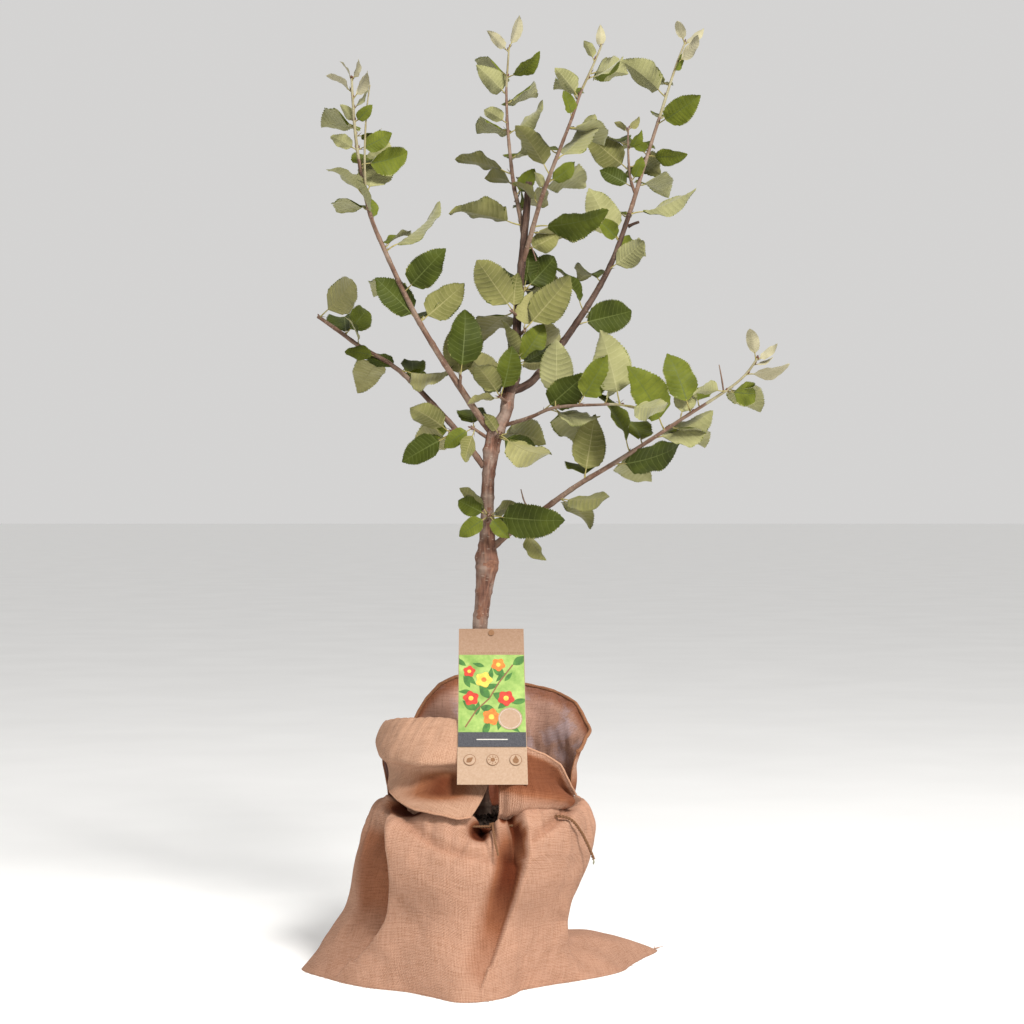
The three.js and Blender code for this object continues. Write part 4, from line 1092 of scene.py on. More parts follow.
def add_thread(build, start, aim, length, random, slot, thick=0.22):
    """One loose fibre that bends over as it leaves the cloth."""
    aim = aim / np.linalg.norm(aim)
    sag = np.array([next(random) - 0.5, next(random) - 0.5, -0.5 * next(random)])
    t = np.linspace(0, 1, 5)[:, None]
    line = start + length * (aim * t + 0.5 * sag * t ** 2)
    add_tube(build, line, headings(line), thick * np.array([1, 0.95, 0.85, 0.7, 0.4]), 3, slot)


# String

def add_twine(build, line, radius, slot):
    """Two strands twisted round a line."""
    line = smooth_line(line, 14)
    run = distances(line)
    count = max(12, int(run[-1] / 1.2))
    at = np.linspace(0, run[-1], count)
    middle = np.column_stack([np.interp(at, run, line[:, n]) for n in range(3)])
    direction = headings(middle)
    side = np.cross(direction, [0.3, 0.2, 0.93])
    side /= np.linalg.norm(side, axis=1)[:, None]
    other = np.cross(direction, side)
    for start in (0, math.pi):
        turn = at / (radius * 4.2) * 2 * math.pi + start
        offset = side * np.cos(turn)[:, None] + other * np.sin(turn)[:, None]
        centres = middle + offset * radius * 0.55
        add_tube(build, centres, direction, radius * 0.62, 6, slot)


def make_string():
    """The string round the neck, its knot, and two loose ends of which the long one is frayed."""
    build = Build()
    ring = []
    for k in range(61):
        turn = 2 * math.pi * k / 60
        ring.append([STRING["ring"] * math.cos(turn), STRING["ring"] * math.sin(turn), STRING["z"]])
    add_twine(build, ring, STRING["radius"], 0)
    add_twine(build, LONG_END, 1.3 * STRING["radius"], 0)
    add_twine(build, SHORT_END, STRING["radius"], 0)
    turn = math.radians(KNOT["angle"])
    centre = np.array([KNOT["radius"] * math.cos(turn), KNOT["radius"] * math.sin(turn), KNOT["z"]])
    loop = []
    for k in range(37):
        t = 4 * math.pi * k / 36
        loop.append(centre + [2.6 * math.cos(t), 1.4 * math.sin(t + 0.8), 1.7 * math.sin(t * 1.5)])
    add_twine(build, loop, STRING["radius"], 0)
    random = seeded(5)
    tip = np.array(LONG_END[-1], float)
    for _ in range(9):
        spread = np.array([next(random) - 0.3, next(random) - 0.7, -1.2 - next(random)])
        strand = np.array([tip, tip + spread, tip + spread * (2 + next(random))])
        add_tube(build, strand, headings(strand), 0.35, 4, 1)
    return build.finish("tie_string_twisted", [TWINE, FRAYED])


# Tag

TAG_PRINTS = [
    KRAFT, PRINT_BAND, PRINT_LINE, PRINT_PALE, PRINT_BACK, PRINT_LEAF, PRINT_RED, PRINT_ORANGE,
    PRINT_YELLOW,
]


def tag_place(x, down, out=0.0):
    """A point of the card from its distance across and down, and its height off the front face."""
    t = 1 - down / CARD_HIGH
    s = x / CARD_WIDE
    top, bottom = TAG["top"], TAG["bottom"]
    left = between(bottom["left"], top["left"], t)
    right = between(bottom["right"], top["right"], t)
    lean = np.array([0, bottom["y"] - top["y"], bottom["z"] - top["z"]], float)
    lean /= np.linalg.norm(lean)
    normal = np.array([0, lean[2], -lean[1]])
    place = np.array([between(left, right, s), between(bottom["y"], top["y"], t),
                      between(bottom["z"], top["z"], t)])
    return place + normal * (TAG["thickness"] / 2 + out)


def turned(outline, x, down, turn):
    """An outline turned about its start and moved to its place on the card."""
    c, s = math.cos(turn), math.sin(turn)
    return [[x + dx * c - dy * s, down + dx * s + dy * c] for dx, dy in outline]


def disc(x, down, radius, petals=0, depth=0.0, count=40, turn=0.0):
    """Outline of a round or petalled printed mark."""
    outline = []
    for k in range(count):
        t = 2 * math.pi * k / count
        r = radius * (1 - depth * (0.5 + 0.5 * math.cos(petals * t)))
        outline.append([r * math.cos(t), r * math.sin(t)])
    return turned(outline, x, down, turn)


def leaf_mark(x, down, length, turn, width=0.36):
    """Outline of a simple pointed printed leaf, out along one side and back along the other."""
    there = [(k / 12, 1) for k in range(13)]
    back = [(1 - k / 12, -1) for k in range(1, 12)]
    outline = []
    for t, side in there + back:
        outline.append([length * t, side * length * width * math.sin(math.pi * t ** 0.85) ** 1.2 / 2])
    return turned(outline, x, down, turn)


def stroke(x0, y0, x1, y1, wide):
    """Outline of a straight printed line."""
    dx, dy = x1 - x0, y1 - y0
    size = math.hypot(dx, dy)
    nx, ny = -dy / size * wide / 2, dx / size * wide / 2
    return [[x0 + nx, y0 + ny], [x1 + nx, y1 + ny], [x1 - nx, y1 - ny], [x0 - nx, y0 - ny]]


# Printed layers lie just off the card, each a little above the last, and end before its edge.
FIRST_LAYER = 0.04
LAYER = 0.012
MARGIN = 0.6
CARD_FACING = np.array([0, -0.867, 0.498])
PRINTED_LEAVES = (
    (20, 98, -2.5), (24, 94, 0.3), (34, 84, -2.2), (38, 78, 0.5), (50, 58, -2.3), (60, 44, -0.6),
)
PRINTED_STEM = ((8, 118), (20, 98), (34, 84), (44, 66), (60, 44))
SEAL = (56, 108)
# The three round signs stand in one row: their places across, and the row's place down.
SIGNS = (13, 37, 61)
SIGN_ROW = 156
BLOSSOMS = (
    (14, 84, 9, PRINT_RED), (36, 106, 10, PRINT_ORANGE), (28, 62, 9.5, PRINT_YELLOW),
    (52, 84, 9.5, PRINT_RED), (44, 44, 8, PRINT_ORANGE), (12, 52, 7, PRINT_RED),
)


def make_tag():
    """The card, its prints as thin layers, a brown printed disc where its hole is, and the loop of cord."""
    build = Build()
    layer = [FIRST_LAYER]

    def mark(outline, look):
        """Adds one printed layer to the front of the card."""
        layer[0] += LAYER
        inside = [[min(max(x, MARGIN), CARD_WIDE - MARGIN), y] for x, y in outline]
        points = np.array([tag_place(x, y, layer[0]) for x, y in inside])
        centre = points.mean(axis=0)
        n = len(points)
        faces = [[k, (k + 1) % n, n] for k in range(n)]
        spans = points - centre
        area = sum(np.dot(np.cross(spans[a], spans[b]), CARD_FACING) for a, b, _ in faces)
        if area < 0:
            faces = [f[::-1] for f in faces]
        marked = np.vstack([inside, np.mean(inside, axis=0)])
        build.add(np.vstack([points, centre]), faces, TAG_PRINTS.index(look), marked)

    across, down = 12, 26
    uv = np.array([[[CARD_WIDE * i / across, CARD_HIGH * j / down] for i in range(across + 1)]
                   for j in range(down + 1)])
    front = np.array([[tag_place(x, y) for x, y in row] for row in uv])
    back = front - (tag_place(0, 0) - tag_place(0, 0, -TAG["thickness"]))
    build.sheet(front, 0, uv, flip=True)
    build.sheet(back, 0, uv)
    rims = [np.concatenate([side[0], side[1:, -1], side[-1, ::-1][1:], side[::-1, 0][1:]])
            for side in (front, back)]
    build.sheet(np.stack(rims), 0, np.zeros((2, len(rims[0]), 2)))

    for k in range(34):
        mark(stroke(3 + 2 * k, 29.5, 4 + 2 * k, 29.5, 0.6), PRINT_LINE)
    mark([[0, 32], [CARD_WIDE, 32], [CARD_WIDE, 124], [0, 124]], PRINT_BACK)
    random = seeded(9)
    for k in range(15):
        x, y = 6 + 60 * next(random), 40 + 76 * next(random)
        mark(leaf_mark(x, y, 12 + 10 * next(random), 6.28 * next(random)), PRINT_LEAF)
    for (x0, y0), (x1, y1) in zip(PRINTED_STEM, PRINTED_STEM[1:]):
        mark(stroke(x0, y0, x1, y1, 1.6), PRINT_LINE)
    for x, y, turn in PRINTED_LEAVES:
        mark(leaf_mark(x, y, 19, turn, 0.5), PRINT_LEAF)
    for x, y, size, look in BLOSSOMS:
        mark(disc(x, y, size, 5, 0.22, 60, next(random)), look)
        mark(disc(x, y, size * 0.3), PRINT_YELLOW if look != PRINT_YELLOW else PRINT_ORANGE)
    for radius, look in ((13, KRAFT), (11.6, PRINT_PALE), (11.2, KRAFT)):
        mark(disc(*SEAL, radius), look)
    mark([[0, 124], [CARD_WIDE, 124], [CARD_WIDE, 141], [0, 141]], PRINT_BAND)
    mark(stroke(20, 132.5, 53, 132.5, 1.2), PRINT_PALE)
    for x in SIGNS:
        mark(disc(x, SIGN_ROW, 6.4), PRINT_LINE)
        mark(disc(x, SIGN_ROW, 5.8), KRAFT)
    mark(leaf_mark(SIGNS[0] - 3.5, SIGN_ROW + 3, 9, -0.7, 0.6), PRINT_LINE)
    x, y = SIGNS[1], SIGN_ROW
    mark(disc(x, y, 2.4), PRINT_LINE)
    for k in range(8):
        c, s = math.cos(math.pi * k / 4), math.sin(math.pi * k / 4)
        mark(stroke(x + 3.2 * c, y + 3.2 * s, x + 4.9 * c, y + 4.9 * s, 0.7), PRINT_LINE)
    x = SIGNS[2]
    mark(disc(x, y + 1, 3.2), PRINT_LINE)
    mark([[x - 2.8, y], [x, y - 5.4], [x + 2.8, y]], PRINT_LINE)
    mark(disc(36.5, 5.5, 3.4), PRINT_LINE)

    loop = []
    for k in range(41):
        t = 2 * math.pi * k / 40
        x, y, z = TAG["loop_at"]
        loop.append([x + TAG["loop"] * math.cos(t), y + TAG["loop"] * math.sin(t), z + math.sin(t)])
    build.add(*loop_tube(loop, TAG["cord"]), 0)
    return build.finish("printed_tag", TAG_PRINTS, smooth=False)


def loop_tube(line, radius):
    """Points and faces of a cord that runs round in a loop."""
    line = np.array(line, float)
    direction = np.gradient(line, axis=0)
    direction[0] = direction[-1] = line[1] - line[-2]
    direction /= np.linalg.norm(direction, axis=1)[:, None]
    points, _ = tube_points(line, direction, radius, 8)
    return points, grid_faces(len(line), 9)


# Wood

# Knots of the trunk: height, angle (0 left, -90 front), size and how far they stand out.
KNOTS = [
    [446, -60, 7, 3.2], [455, -130, 8, 3.4], [438, -95, 9, 2.6], [461, 10, 7, 3.0], [468, -85, 6, 1.6],
    [500, -90, 5, 1.6], [575, -40, 6, 1.8], [596, -120, 6, 2.0], [650, -70, 6, 2.4], [657, -150, 5, 2.0],
    [430, 120, 9, 2.4], [452, 80, 8, 3.0],
]
# Scars: height, angle (0 right, -90 front), half width and half height.
SCARS = [[399, -105, 3.5, 7.0], [452, -75, 4.0, 3.5], [512, -70, 2.6, 3.0]]


NODE_SPACING = 26.0
DARK_FROM = 640


def limb_radius(distance, base):
    """Radius of a limb with slight swellings where leaves and buds stand."""
    return base + 0.10 * base * np.exp(-(((distance % NODE_SPACING) - NODE_SPACING / 2) / 2.4) ** 2)


def trunk_limb():
    """The trunk's line, and its radius at a distance from its foot."""
    trunk = Route(TRUNK_PLACES, 3)
    radii = np.array(TRUNK_DIAMETERS) / 2
    return trunk, lambda distance: np.interp(distance, trunk.run[::3], radii)


def make_limb(build, route, start, end, base, *, sides, seed, slot, step, rough, knots=()):
    """A limb with bark relief: swellings, long ridges and knots."""
    count = max(4, int((end - start) / step))
    at = np.linspace(start, end, count)
    centres, directions = route.at(at), route.direction(at)
    radii = limb_radius(at, base(at))

    def relief(turn):
        around = np.repeat(turn, count, axis=0)

        def grain(size, length):
            run = at[:, None] / length + 0 * around
            return np.stack([size * np.cos(around), size * np.sin(around), run], -1)

        ridges = cloud(grain(2.2, 26.0), 1.0, seed) * 1.6 + cloud(grain(7, 7.0), 1.0, seed + 3) * 0.7
        lumps = rough * radii[:, None] / 7 * ridges
        for z, angle, size, out in knots:
            # A limb's rings start at the back and run round by the left.
            centre = math.radians(angle - 90)
            away = (around + centre + math.pi) % (2 * math.pi) - math.pi
            reach = np.hypot(away * radii[:, None], (centres[:, 2] - z)[:, None] + 0 * away)
            lumps = lumps + out * np.exp(-((reach / size) ** 2))
        lumps[:, -1] = lumps[:, 0]
        return lumps

    add_tube(build, centres, directions, radii, sides, slot, relief)
    return at


# Small dead twigs, a cut stub and a second young stem: places [x, z, depth], diameters, bark slot.
TWIGS = [
    {"places": [[66, 507, -20], [56, 512, -22], [49, 520, -25], [45, 534, -28]], "size": (2.6, 1.3)},
    {"places": [[268, 641, -93], [266, 655, -96], [263, 671, -99]], "size": (2.0, 1.2)},
    {"places": [[163, 823, 70], [169, 826, 68], [175, 828, 66]], "size": (4.2, 3.0), "slot": 1},
    {"places": [[38, 850, 30], [43, 858, 30], [45, 866, 29]], "size": (1.8, 1.0)},
    {"places": [[62, 785, -10], [57, 800, -8], [53, 806, -7]], "size": (1.8, 1.0)},
    {"places": [[-122, 846, -72], [-126, 866, -80], [-127, 893, -86], [-126, 930, -91],
                [-124, 957, -95], [-121, 979, -99]], "size": (3.2, 1.4), "slot": 2},
]


def make_twigs(build):
    """The bare twigs and the second stem, slightly uneven."""
    for twig in TWIGS:
        route = Route(twig["places"], 4)
        at = np.linspace(0, route.length, max(4, int(route.length / 2)))
        radii = np.linspace(twig["size"][0], twig["size"][1], len(at)) / 2
        radii = radii * (1 + 0.2 * cloud(route.at(at), 6.0, 2.8))
        add_tube(build, route.at(at), route.direction(at), radii, 8, twig.get("slot", 0))


def make_wood():
    """Trunk and boughs with their bark, and the solids each stands for."""
    trunk, base = trunk_limb()
    build = Build()
    make_limb(build, trunk, 0, trunk.length, base, sides=40, seed=1.0, slot=0, step=1.6, rough=0.5,
              knots=KNOTS)
    points = np.concatenate(build.points)
    middle = np.array([points[np.array(f)].mean(axis=0) for f in build.faces])
    slots = np.concatenate(build.slots).copy()
    slots[middle[:, 2] > DARK_FROM] = 1
    for z, angle, wide, high in SCARS:
        centre = trunk.at(np.interp(z, trunk.points[:, 2], trunk.run))[0]
        turn = np.degrees(np.arctan2(middle[:, 1] - centre[1], middle[:, 0] - centre[0]))
        away = np.abs((turn - angle + 180) % 360 - 180) * math.pi / 180 * 8
        edge = ((away / wide) ** 2 + ((middle[:, 2] - z) / high) ** 2) < 1 + 0.5 * np.sin(middle[:, 2] * 3)
        slots[edge] = 2
    build.slots = [slots]
    trunk_bark = build.finish("trunk_bark", [BARK, DARK_BARK, SCAR])
    weld(trunk_bark, 0.01)
    build = Build()
    names = []
    for k, shoot in enumerate(SHOOTS):
        if not shoot["bare"]:
            continue
        route = Route(shoot["places"], 4)
        make_limb(build, route, 0, shoot["bare"] + 2, taper(shoot["diameters"], route), sides=20,
                  seed=3.0 + k, slot=1 if shoot["name"] == "right" else 0, step=1.8, rough=0.35)
        names.append("bough_" + shoot["name"])
    make_twigs(build)
    bough_bark = build.finish("bough_bark", [SHOOT_BARK, DARK_BARK, GREEN_BARK])
    weld(bough_bark, 0.01)
    return [(trunk_bark, ["trunk"]), (bough_bark, names)]


# Leaves

# Half width of a blade by the share of its length, and where its points lie across it.
OUTLINE = [
    [0, 0.08], [0.03, 0.34], [0.08, 0.60], [0.16, 0.82], [0.28, 0.97], [0.40, 1.0], [0.54, 0.96],
    [0.67, 0.84], [0.78, 0.66], [0.87, 0.44], [0.94, 0.22], [1.0, 0.0],
]
ACROSS = np.array([-1, -0.9, -0.66, -0.38, -0.13, 0.13, 0.38, 0.66, 0.9, 1.0])


class Leaf:
    """One leaf as the source places it: heading and turn from its row, lean from the spiral."""

    def __init__(self, foot, heading, reach, turn, lean, ratio, random, outward=None):
        steep = math.acos(min(1, reach / LEAF["longest"]))
        tilt = min(max(math.radians(lean), -steep), steep)
        h = math.radians(heading)
        flat = math.cos(tilt)
        self.foot = foot
        self.along = np.array([math.cos(h) * flat, -math.sin(tilt), math.sin(h) * flat])
        hint = np.array([0.0, -1.0, 0.0]) if outward is None else outward
        up = hint - self.along * np.dot(hint, self.along)
        up /= np.linalg.norm(up)
        t = math.radians(turn)
        self.up = up * math.cos(t) + np.cross(self.along, up) * math.sin(t)
        self.across = np.cross(self.along, self.up)
        self.whole = reach / flat
        self.blade = self.whole * LEAF["blade"]
        self.stalk = self.whole - self.blade
        self.curl = math.radians(between(*LEAF["curl"], next(random)))
        self.half = self.blade * ratio / 2

    def place(self, x, y, rise):
        """Points of the leaf from across, along the blade, and rise off its plane."""
        past = np.maximum(0, y)
        bend = self.curl * past / (2 * self.blade)
        along = self.stalk + np.minimum(y, 0) + past * np.cos(bend)
        up = rise - past * np.sin(bend)
        return (self.foot + self.along * along[..., None] + self.up * up[..., None]
                + self.across * x[..., None])

    def coarse(self):
        """The plain form that shows whether the leaf is clear of its neighbours."""
        thin = LEAF["petiole"] / self.half
        profile = [[0, 0], [thin, 0.01 * self.whole], [thin, self.stalk],
                   [0.8, self.stalk + 0.2 * self.blade], [0.88, self.stalk + 0.62 * self.blade],
                   [0, self.whole]]
        x, y, rise = [], [], []
        thick = LEAF["thickness"] / 2 + 0.3
        for width, run in profile:
            for sx, sz in ((0, 1), (1, 0), (0, -1), (-1, 0)):
                x.append(sx * width * self.half)
                y.append(run - self.stalk)
                rise.append(LEAF["fold"] * abs(sx * width) * self.half + sz * thick)
        points = self.place(np.array(x), np.array(y), np.array(rise))
        faces = []
        for k in range(len(profile) - 1):
            for s in range(4):
                a, b = 4 * k + s, 4 * k + (s + 1) % 4
                faces.append([a, b, b + 4, a + 4])
        return BVHTree.FromPolygons(points.tolist(), faces)


def leaf_rows(pairs, rows_between, strip):
    """Rows of a blade along its midrib: a thin strip at each side vein, wider rows between."""
    rows, strips = [0.0], []
    for k in range(pairs):
        vein = 0.05 + 0.86 * (k / pairs) ** 1.06
        nearby = 0.05 + 0.86 * ((k + 1) / pairs) ** 1.06
        if vein - strip / 2 > rows[-1] + 1e-4:
            rows.append(vein - strip / 2)
        strips.append(len(rows) - 1)
        rows.append(vein + strip / 2)
        for j in range(1, rows_between):
            rows.append(between(vein + strip / 2, nearby - strip / 2, j / rows_between))
    rows += [0.93, 0.965, 1.0]
    return np.array(rows), strips


# Below this length a blade has fewer veins and hardly any relief, and between two lengths the
# veins below gain their full height.
SMALL_BLADE = 30
RIBS_GROW = (26, 62)
# Form of a blade. As shares of its length: how far side veins sweep forward, depth of a tooth,
# height of the quilting and droop of the tip. As shares of its half width: roll, waves and ruffles
# of its margin. In millimetres: its thickness, and widths of midrib and side vein and how far each
# stands out below.
BLADE = {
    "sweep": 0.17, "tooth": 0.012, "quilt": 0.006, "small_quilt": 0.001, "droop": 0.11, "roll": 0.24,
    "wave": 0.13, "ruffle": 0.035, "thick": 0.28, "midrib": 0.7, "vein": 0.4, "rib": 0.55,
    "side_rib": 0.22,
}


def add_leaf(build, leaf, looks, random):
    """A blade of two faces with its veins, quilted between them, toothed, folded, curled and waved."""
    small = leaf.blade < SMALL_BLADE
    rows, strips = leaf_rows(6 if small else 9, 3 if small else 4, BLADE["vein"] / leaf.blade)
    p = rows[:, None]
    u = ACROSS[None, :]
    sweep = BLADE["sweep"] * smoothstep(p, 0, 0.12) * np.maximum(0, 1 - p) ** 0.55
    t = np.minimum(p + sweep * np.abs(u) ** 1.2, 1.0)
    width = np.interp(t, [row[0] for row in OUTLINE], [row[1] for row in OUTLINE])
    tooth = np.where(np.arange(len(rows)) % 2 == 0, 1.0, -1.0)[:, None] * (np.abs(u) == 1)
    fade = smoothstep(t, 0.04, 0.15) * (1 - smoothstep(t, 0.94, 1.0))
    x = u * leaf.half * width + np.sign(u) * tooth * fade * min(0.75, BLADE["tooth"] * leaf.blade)
    rib = BLADE["midrib"] / leaf.half * (1.15 - t)
    inner = np.abs(u) < 0.2
    x = np.where(inner, np.sign(u) * np.minimum(np.abs(x), rib * leaf.half), x)
    y = t * leaf.blade + tooth * fade * 0.15
    phase = [next(random) for _ in range(9)]
    quilt = np.zeros(len(rows))
    for a, b in zip(strips, strips[1:] + [len(rows) - 1]):
        span = rows[a + 1:b + 1]
        if len(span) > 1:
            quilt[a + 1:b + 1] = np.sin(math.pi * (span - span[0]) / max(1e-6, span[-1] - span[0]))
    relief = BLADE["small_quilt" if small else "quilt"] * leaf.blade * quilt[:, None]
    relief = relief * (1 - np.abs(u) ** 4) * smoothstep(np.abs(u), 0.05, 0.3)
    wave = np.sin(2 * math.pi * (t * (1.1 + phase[0]) + phase[1] + 0.25 * np.sign(u)))
    ruffle = np.sin(2 * math.pi * (t * (3 + 2 * phase[2]) + phase[3] + 0.3 * np.sign(u)))
    fold = LEAF["fold"] + 0.30 * (phase[4] - 0.35) + 0.10 * (phase[5] - 0.5) * np.sign(u)
    roll = BLADE["roll"] * (phase[6] - 0.55) * np.abs(u) ** 3
    roll = roll * (0.6 + 0.8 * np.sin(math.pi * t + 2 * phase[7]))
    rise = fold * np.abs(x) + relief + leaf.half * roll
    margin = BLADE["wave"] * wave * np.abs(u) ** 2 + BLADE["ruffle"] * ruffle * np.abs(u) ** 4
    rise = rise + leaf.half * margin * fade
    rise = rise - leaf.blade * BLADE["droop"] * (phase[8] - 0.2) * smoothstep(t, 0.62, 1.05) ** 2
    twist = (phase[2] - 0.5) * 0.6 * t
    x, rise = x * np.cos(twist) - rise * np.sin(twist), rise * np.cos(twist) + x * np.sin(twist)
    strip_rows = np.zeros(len(rows), bool)
    strip_rows[strips] = True
    thick = BLADE["thick"] * (1 - np.abs(u) ** 6) + 0 * t
    on_strips = np.maximum(strip_rows, np.roll(strip_rows, 1))[:, None]
    ribs = BLADE["rib"] * (1.1 - t) * inner + BLADE["side_rib"] * on_strips * (np.abs(u) < 0.95)
    ribs = ribs * smoothstep(leaf.blade, *RIBS_GROW)
    columns = len(ACROSS)
    faces = grid_faces(len(rows), columns)
    row_of = np.repeat(np.arange(len(rows) - 1), columns - 1)
    column_of = np.tile(np.arange(columns - 1), len(rows) - 1)
    vein = (column_of == 4) | (strip_rows[row_of] & (column_of > 0) & (column_of < columns - 2))
    uv = np.stack([x, y], -1).reshape(-1, 2) + 200 * np.array([phase[0], phase[1]])
    above = leaf.place(x, y, rise + thick / 2).reshape(-1, 3)
    below = leaf.place(x, y, rise - thick / 2 - ribs).reshape(-1, 3)
    upper, under, vein_upper, vein_under = [LEAF_LOOKS.index(look) for look in looks]
    build.add(above, faces[:, ::-1], np.where(vein, vein_upper, upper), uv)
    build.add(below, faces, np.where(vein, vein_under, under), uv)


def add_petiole(build, leaf):
    """The stalk of a leaf, from its broad foot to the blade."""
    count = 7
    y = np.linspace(-leaf.stalk, 1.5, count)
    sag = -0.06 * leaf.stalk * np.sin(math.pi * np.linspace(0, 1, count))
    centres = leaf.place(np.zeros(count), y, sag)
    thick = min(1.0, 0.55 + leaf.blade / 150)
    radii = thick * np.array([1.5, 1.05, 0.9, 0.85, 0.8, 0.75, 0.5])
    add_tube(build, centres, headings(centres), radii, 6, 0)


LEAF_LOOKS = [
    UPPER_DARK, UPPER_MID, UPPER_BRIGHT, UNDER_OLIVE, UNDER_PALE, YOUNG_SKIN, VEIN_UPPER, VEIN_UNDER,
    UNDER_TENDER, VEIN_TENDER,
]
# Share of a long shoot from which its leaves are tender, and the length up to which one is bright.
TENDER_FROM = 0.42
BRIGHT_BLADE = 34


def leaf_looks(leaf, young, random, share):
    """Materials of a leaf above and below, and of its veins: tender and pale towards the tip."""
    chance = next(random)
    if young > 0.5:
        return YOUNG_SKIN, YOUNG_SKIN, YOUNG_SKIN, YOUNG_SKIN
    if share + 0.3 * (chance - 0.5) > TENDER_FROM:
        return UPPER_BRIGHT, UNDER_TENDER, VEIN_UPPER, VEIN_TENDER
    upper = UPPER_DARK if chance < 0.45 else UPPER_MID
    if chance >= 0.85 or leaf.blade < BRIGHT_BLADE:
        upper = UPPER_BRIGHT
    return upper, UNDER_OLIVE if chance < 0.6 else UNDER_PALE, VEIN_UPPER, VEIN_UNDER


def coarse_tube(route, start, end, radius, sides):
    """The plain form of a limb, for telling whether a leaf is clear of it."""
    count = max(3, int((end - start) / 6))
    at = np.linspace(start, end, count)
    points, _ = tube_points(route.at(at), route.direction(at), radius(at) + 0.3, sides)
    return BVHTree.FromPolygons(points.tolist(), grid_faces(count, sides + 1).tolist())


def grow_crown():
    """Grows every shoot and spur as the source does, then carries it to stipules and buds."""
    trunk, base = trunk_limb()
    limbs = [coarse_tube(trunk, 0, trunk.length, base, 10)]
    leafy = []
    for shoot in SHOOTS:
        route = Route(shoot["places"], 4)
        radius = taper(shoot["diameters"], route)
        if shoot["bare"]:
            limbs.append(coarse_tube(route, 0, shoot["bare"], radius, 8))
        leafy.append((shoot, route, shoot["bare"] + 0.3 if shoot["bare"] else 0))
    for spur in SPURS:
        leafy.append((spur, Route(spur["places"], 2), 0))
    stems = {s["name"]: coarse_tube(route, start, route.length, taper(s["diameters"], route), 4)
             for s, route, start in leafy}
    clusters = []
    blades = [Build() for _ in range(3)]
    stalks, wood = Build(), Build()
    for index, (shoot, route, start) in enumerate(leafy):
        seed = 11 + index
        random, extra = seeded(seed), seeded(900 + 7 * index)
        column = 0 if shoot["by"] == "x" else 1
        others = limbs + [tree for name, tree in stems.items() if name != shoot["name"]] + clusters
        own = []

        def grow(distance, heading, reach, turn, lean, outward=None):
            """Adds a leaf at the first lean at which it is clear of other limbs and masses."""
            is_long = route.length > YOUNG["length"] and not shoot.get("cut")
            young = float(smoothstep(distance / route.length, YOUNG["from"], 1)) if is_long else 0.0
            ratio = between(LEAF["wide"], LEAF["young"], young)
            foot = route.at(distance)[0]
            for more in LEANS_TRIED:
                leaf = Leaf(foot, heading, reach, turn, lean + more, ratio, random, outward)
                tree = leaf.coarse()
                if not any(tree.overlap(other) for other in others):
                    break
            else:
                return
            own.append(tree)
            looks = leaf_looks(leaf, young, extra, distance / route.length if is_long else 0.0)
            add_leaf(blades[index % 3], leaf, looks, extra)
            add_petiole(stalks, leaf)
            add_foot(stalks, leaf, route, distance, extra)

        for k, (at, heading, reach, turn) in enumerate(shoot["leaves"]):
            nearest = int(np.argmin(np.abs(route.front[:, column] - at)))
            distance = min(max(route.run[nearest], start + SUNK), route.length - SUNK)
            lean = LEAF["lean"] * math.sin(math.radians(LEAF["spiral"] * (k + seed)))
            grow(distance, heading, reach, turn, lean)
        for k in range(shoot["far"]):
            first = max(start + FAR["first"], min(0.75 * route.length, FAR["clear"]))
            distance = between(first, FAR["last"] * route.length, (k + 0.5) / shoot["far"])
            along = route.direction(distance)[0]
            side = 1 if k % 2 else -1
            aside = side * (FAR["heading"][0] + FAR["heading"][1] * next(random))
            heading = math.degrees(math.atan2(along[2], along[0])) + aside
            lean = -(FAR["lean"][0] + FAR["lean"][1] * next(random))
            reach = FAR["reach"][0] + FAR["reach"][1] * next(random)
            turn = FAR["turn"] * (next(random) - 0.5)
            grow(distance, heading, reach, turn, lean, FAR_SIDE)
        clusters.extend(own)
        grow_stem(wood, shoot, route, start, index)
    pieces = []
    for k, build in enumerate(blades):
        pieces.append(build.finish(f"leaf_blades_{k + 1}", LEAF_LOOKS))
    pieces.append(stalks.finish("leaf_stalks", [PETIOLE, STIPULE, BUD]))
    pieces.append(wood.finish("leafy_stems", [SHOOT_BARK, GREEN_BARK, DARK_BARK, BUD]))
    return pieces


def add_foot(build, leaf, route, distance, random):
    """A pair of thin stipules and a bud where the leaf stands."""
    along = leaf.along
    stem = route.direction(distance)[0]
    for side in (-1, 1):
        if next(random) < 0.35:
            continue
        direction = along * 0.7 + stem * 0.5 + leaf.across * side * (0.5 + 0.4 * next(random))
        direction /= np.linalg.norm(direction)
        start = leaf.foot + along * 2.2
        size = 3.5 + 4.0 * next(random)
        line = np.array([start, start + direction * size * 0.5, start + direction * size])
        add_tube(build, line, np.repeat(direction[None], 3, axis=0), np.array([0.35, 0.3, 0.05]), 4, 1)
    start = leaf.foot + along * 1.2 + stem * 1.8
    direction = stem * 0.9 + along * 0.35
    direction /= np.linalg.norm(direction)
    line = start + direction * np.array([[0.0], [1.0], [2.2], [3.4]])
    add_tube(build, line, np.repeat(direction[None], 4, axis=0), np.array([0.7, 1.1, 0.9, 0.1]), 6, 2)


STEM_SIDES = 14
# Shares of a leafy stem's length: green from the first on, and dark up to the second on one shoot.
GREEN_FROM = 0.80
DARK_TO = 0.55


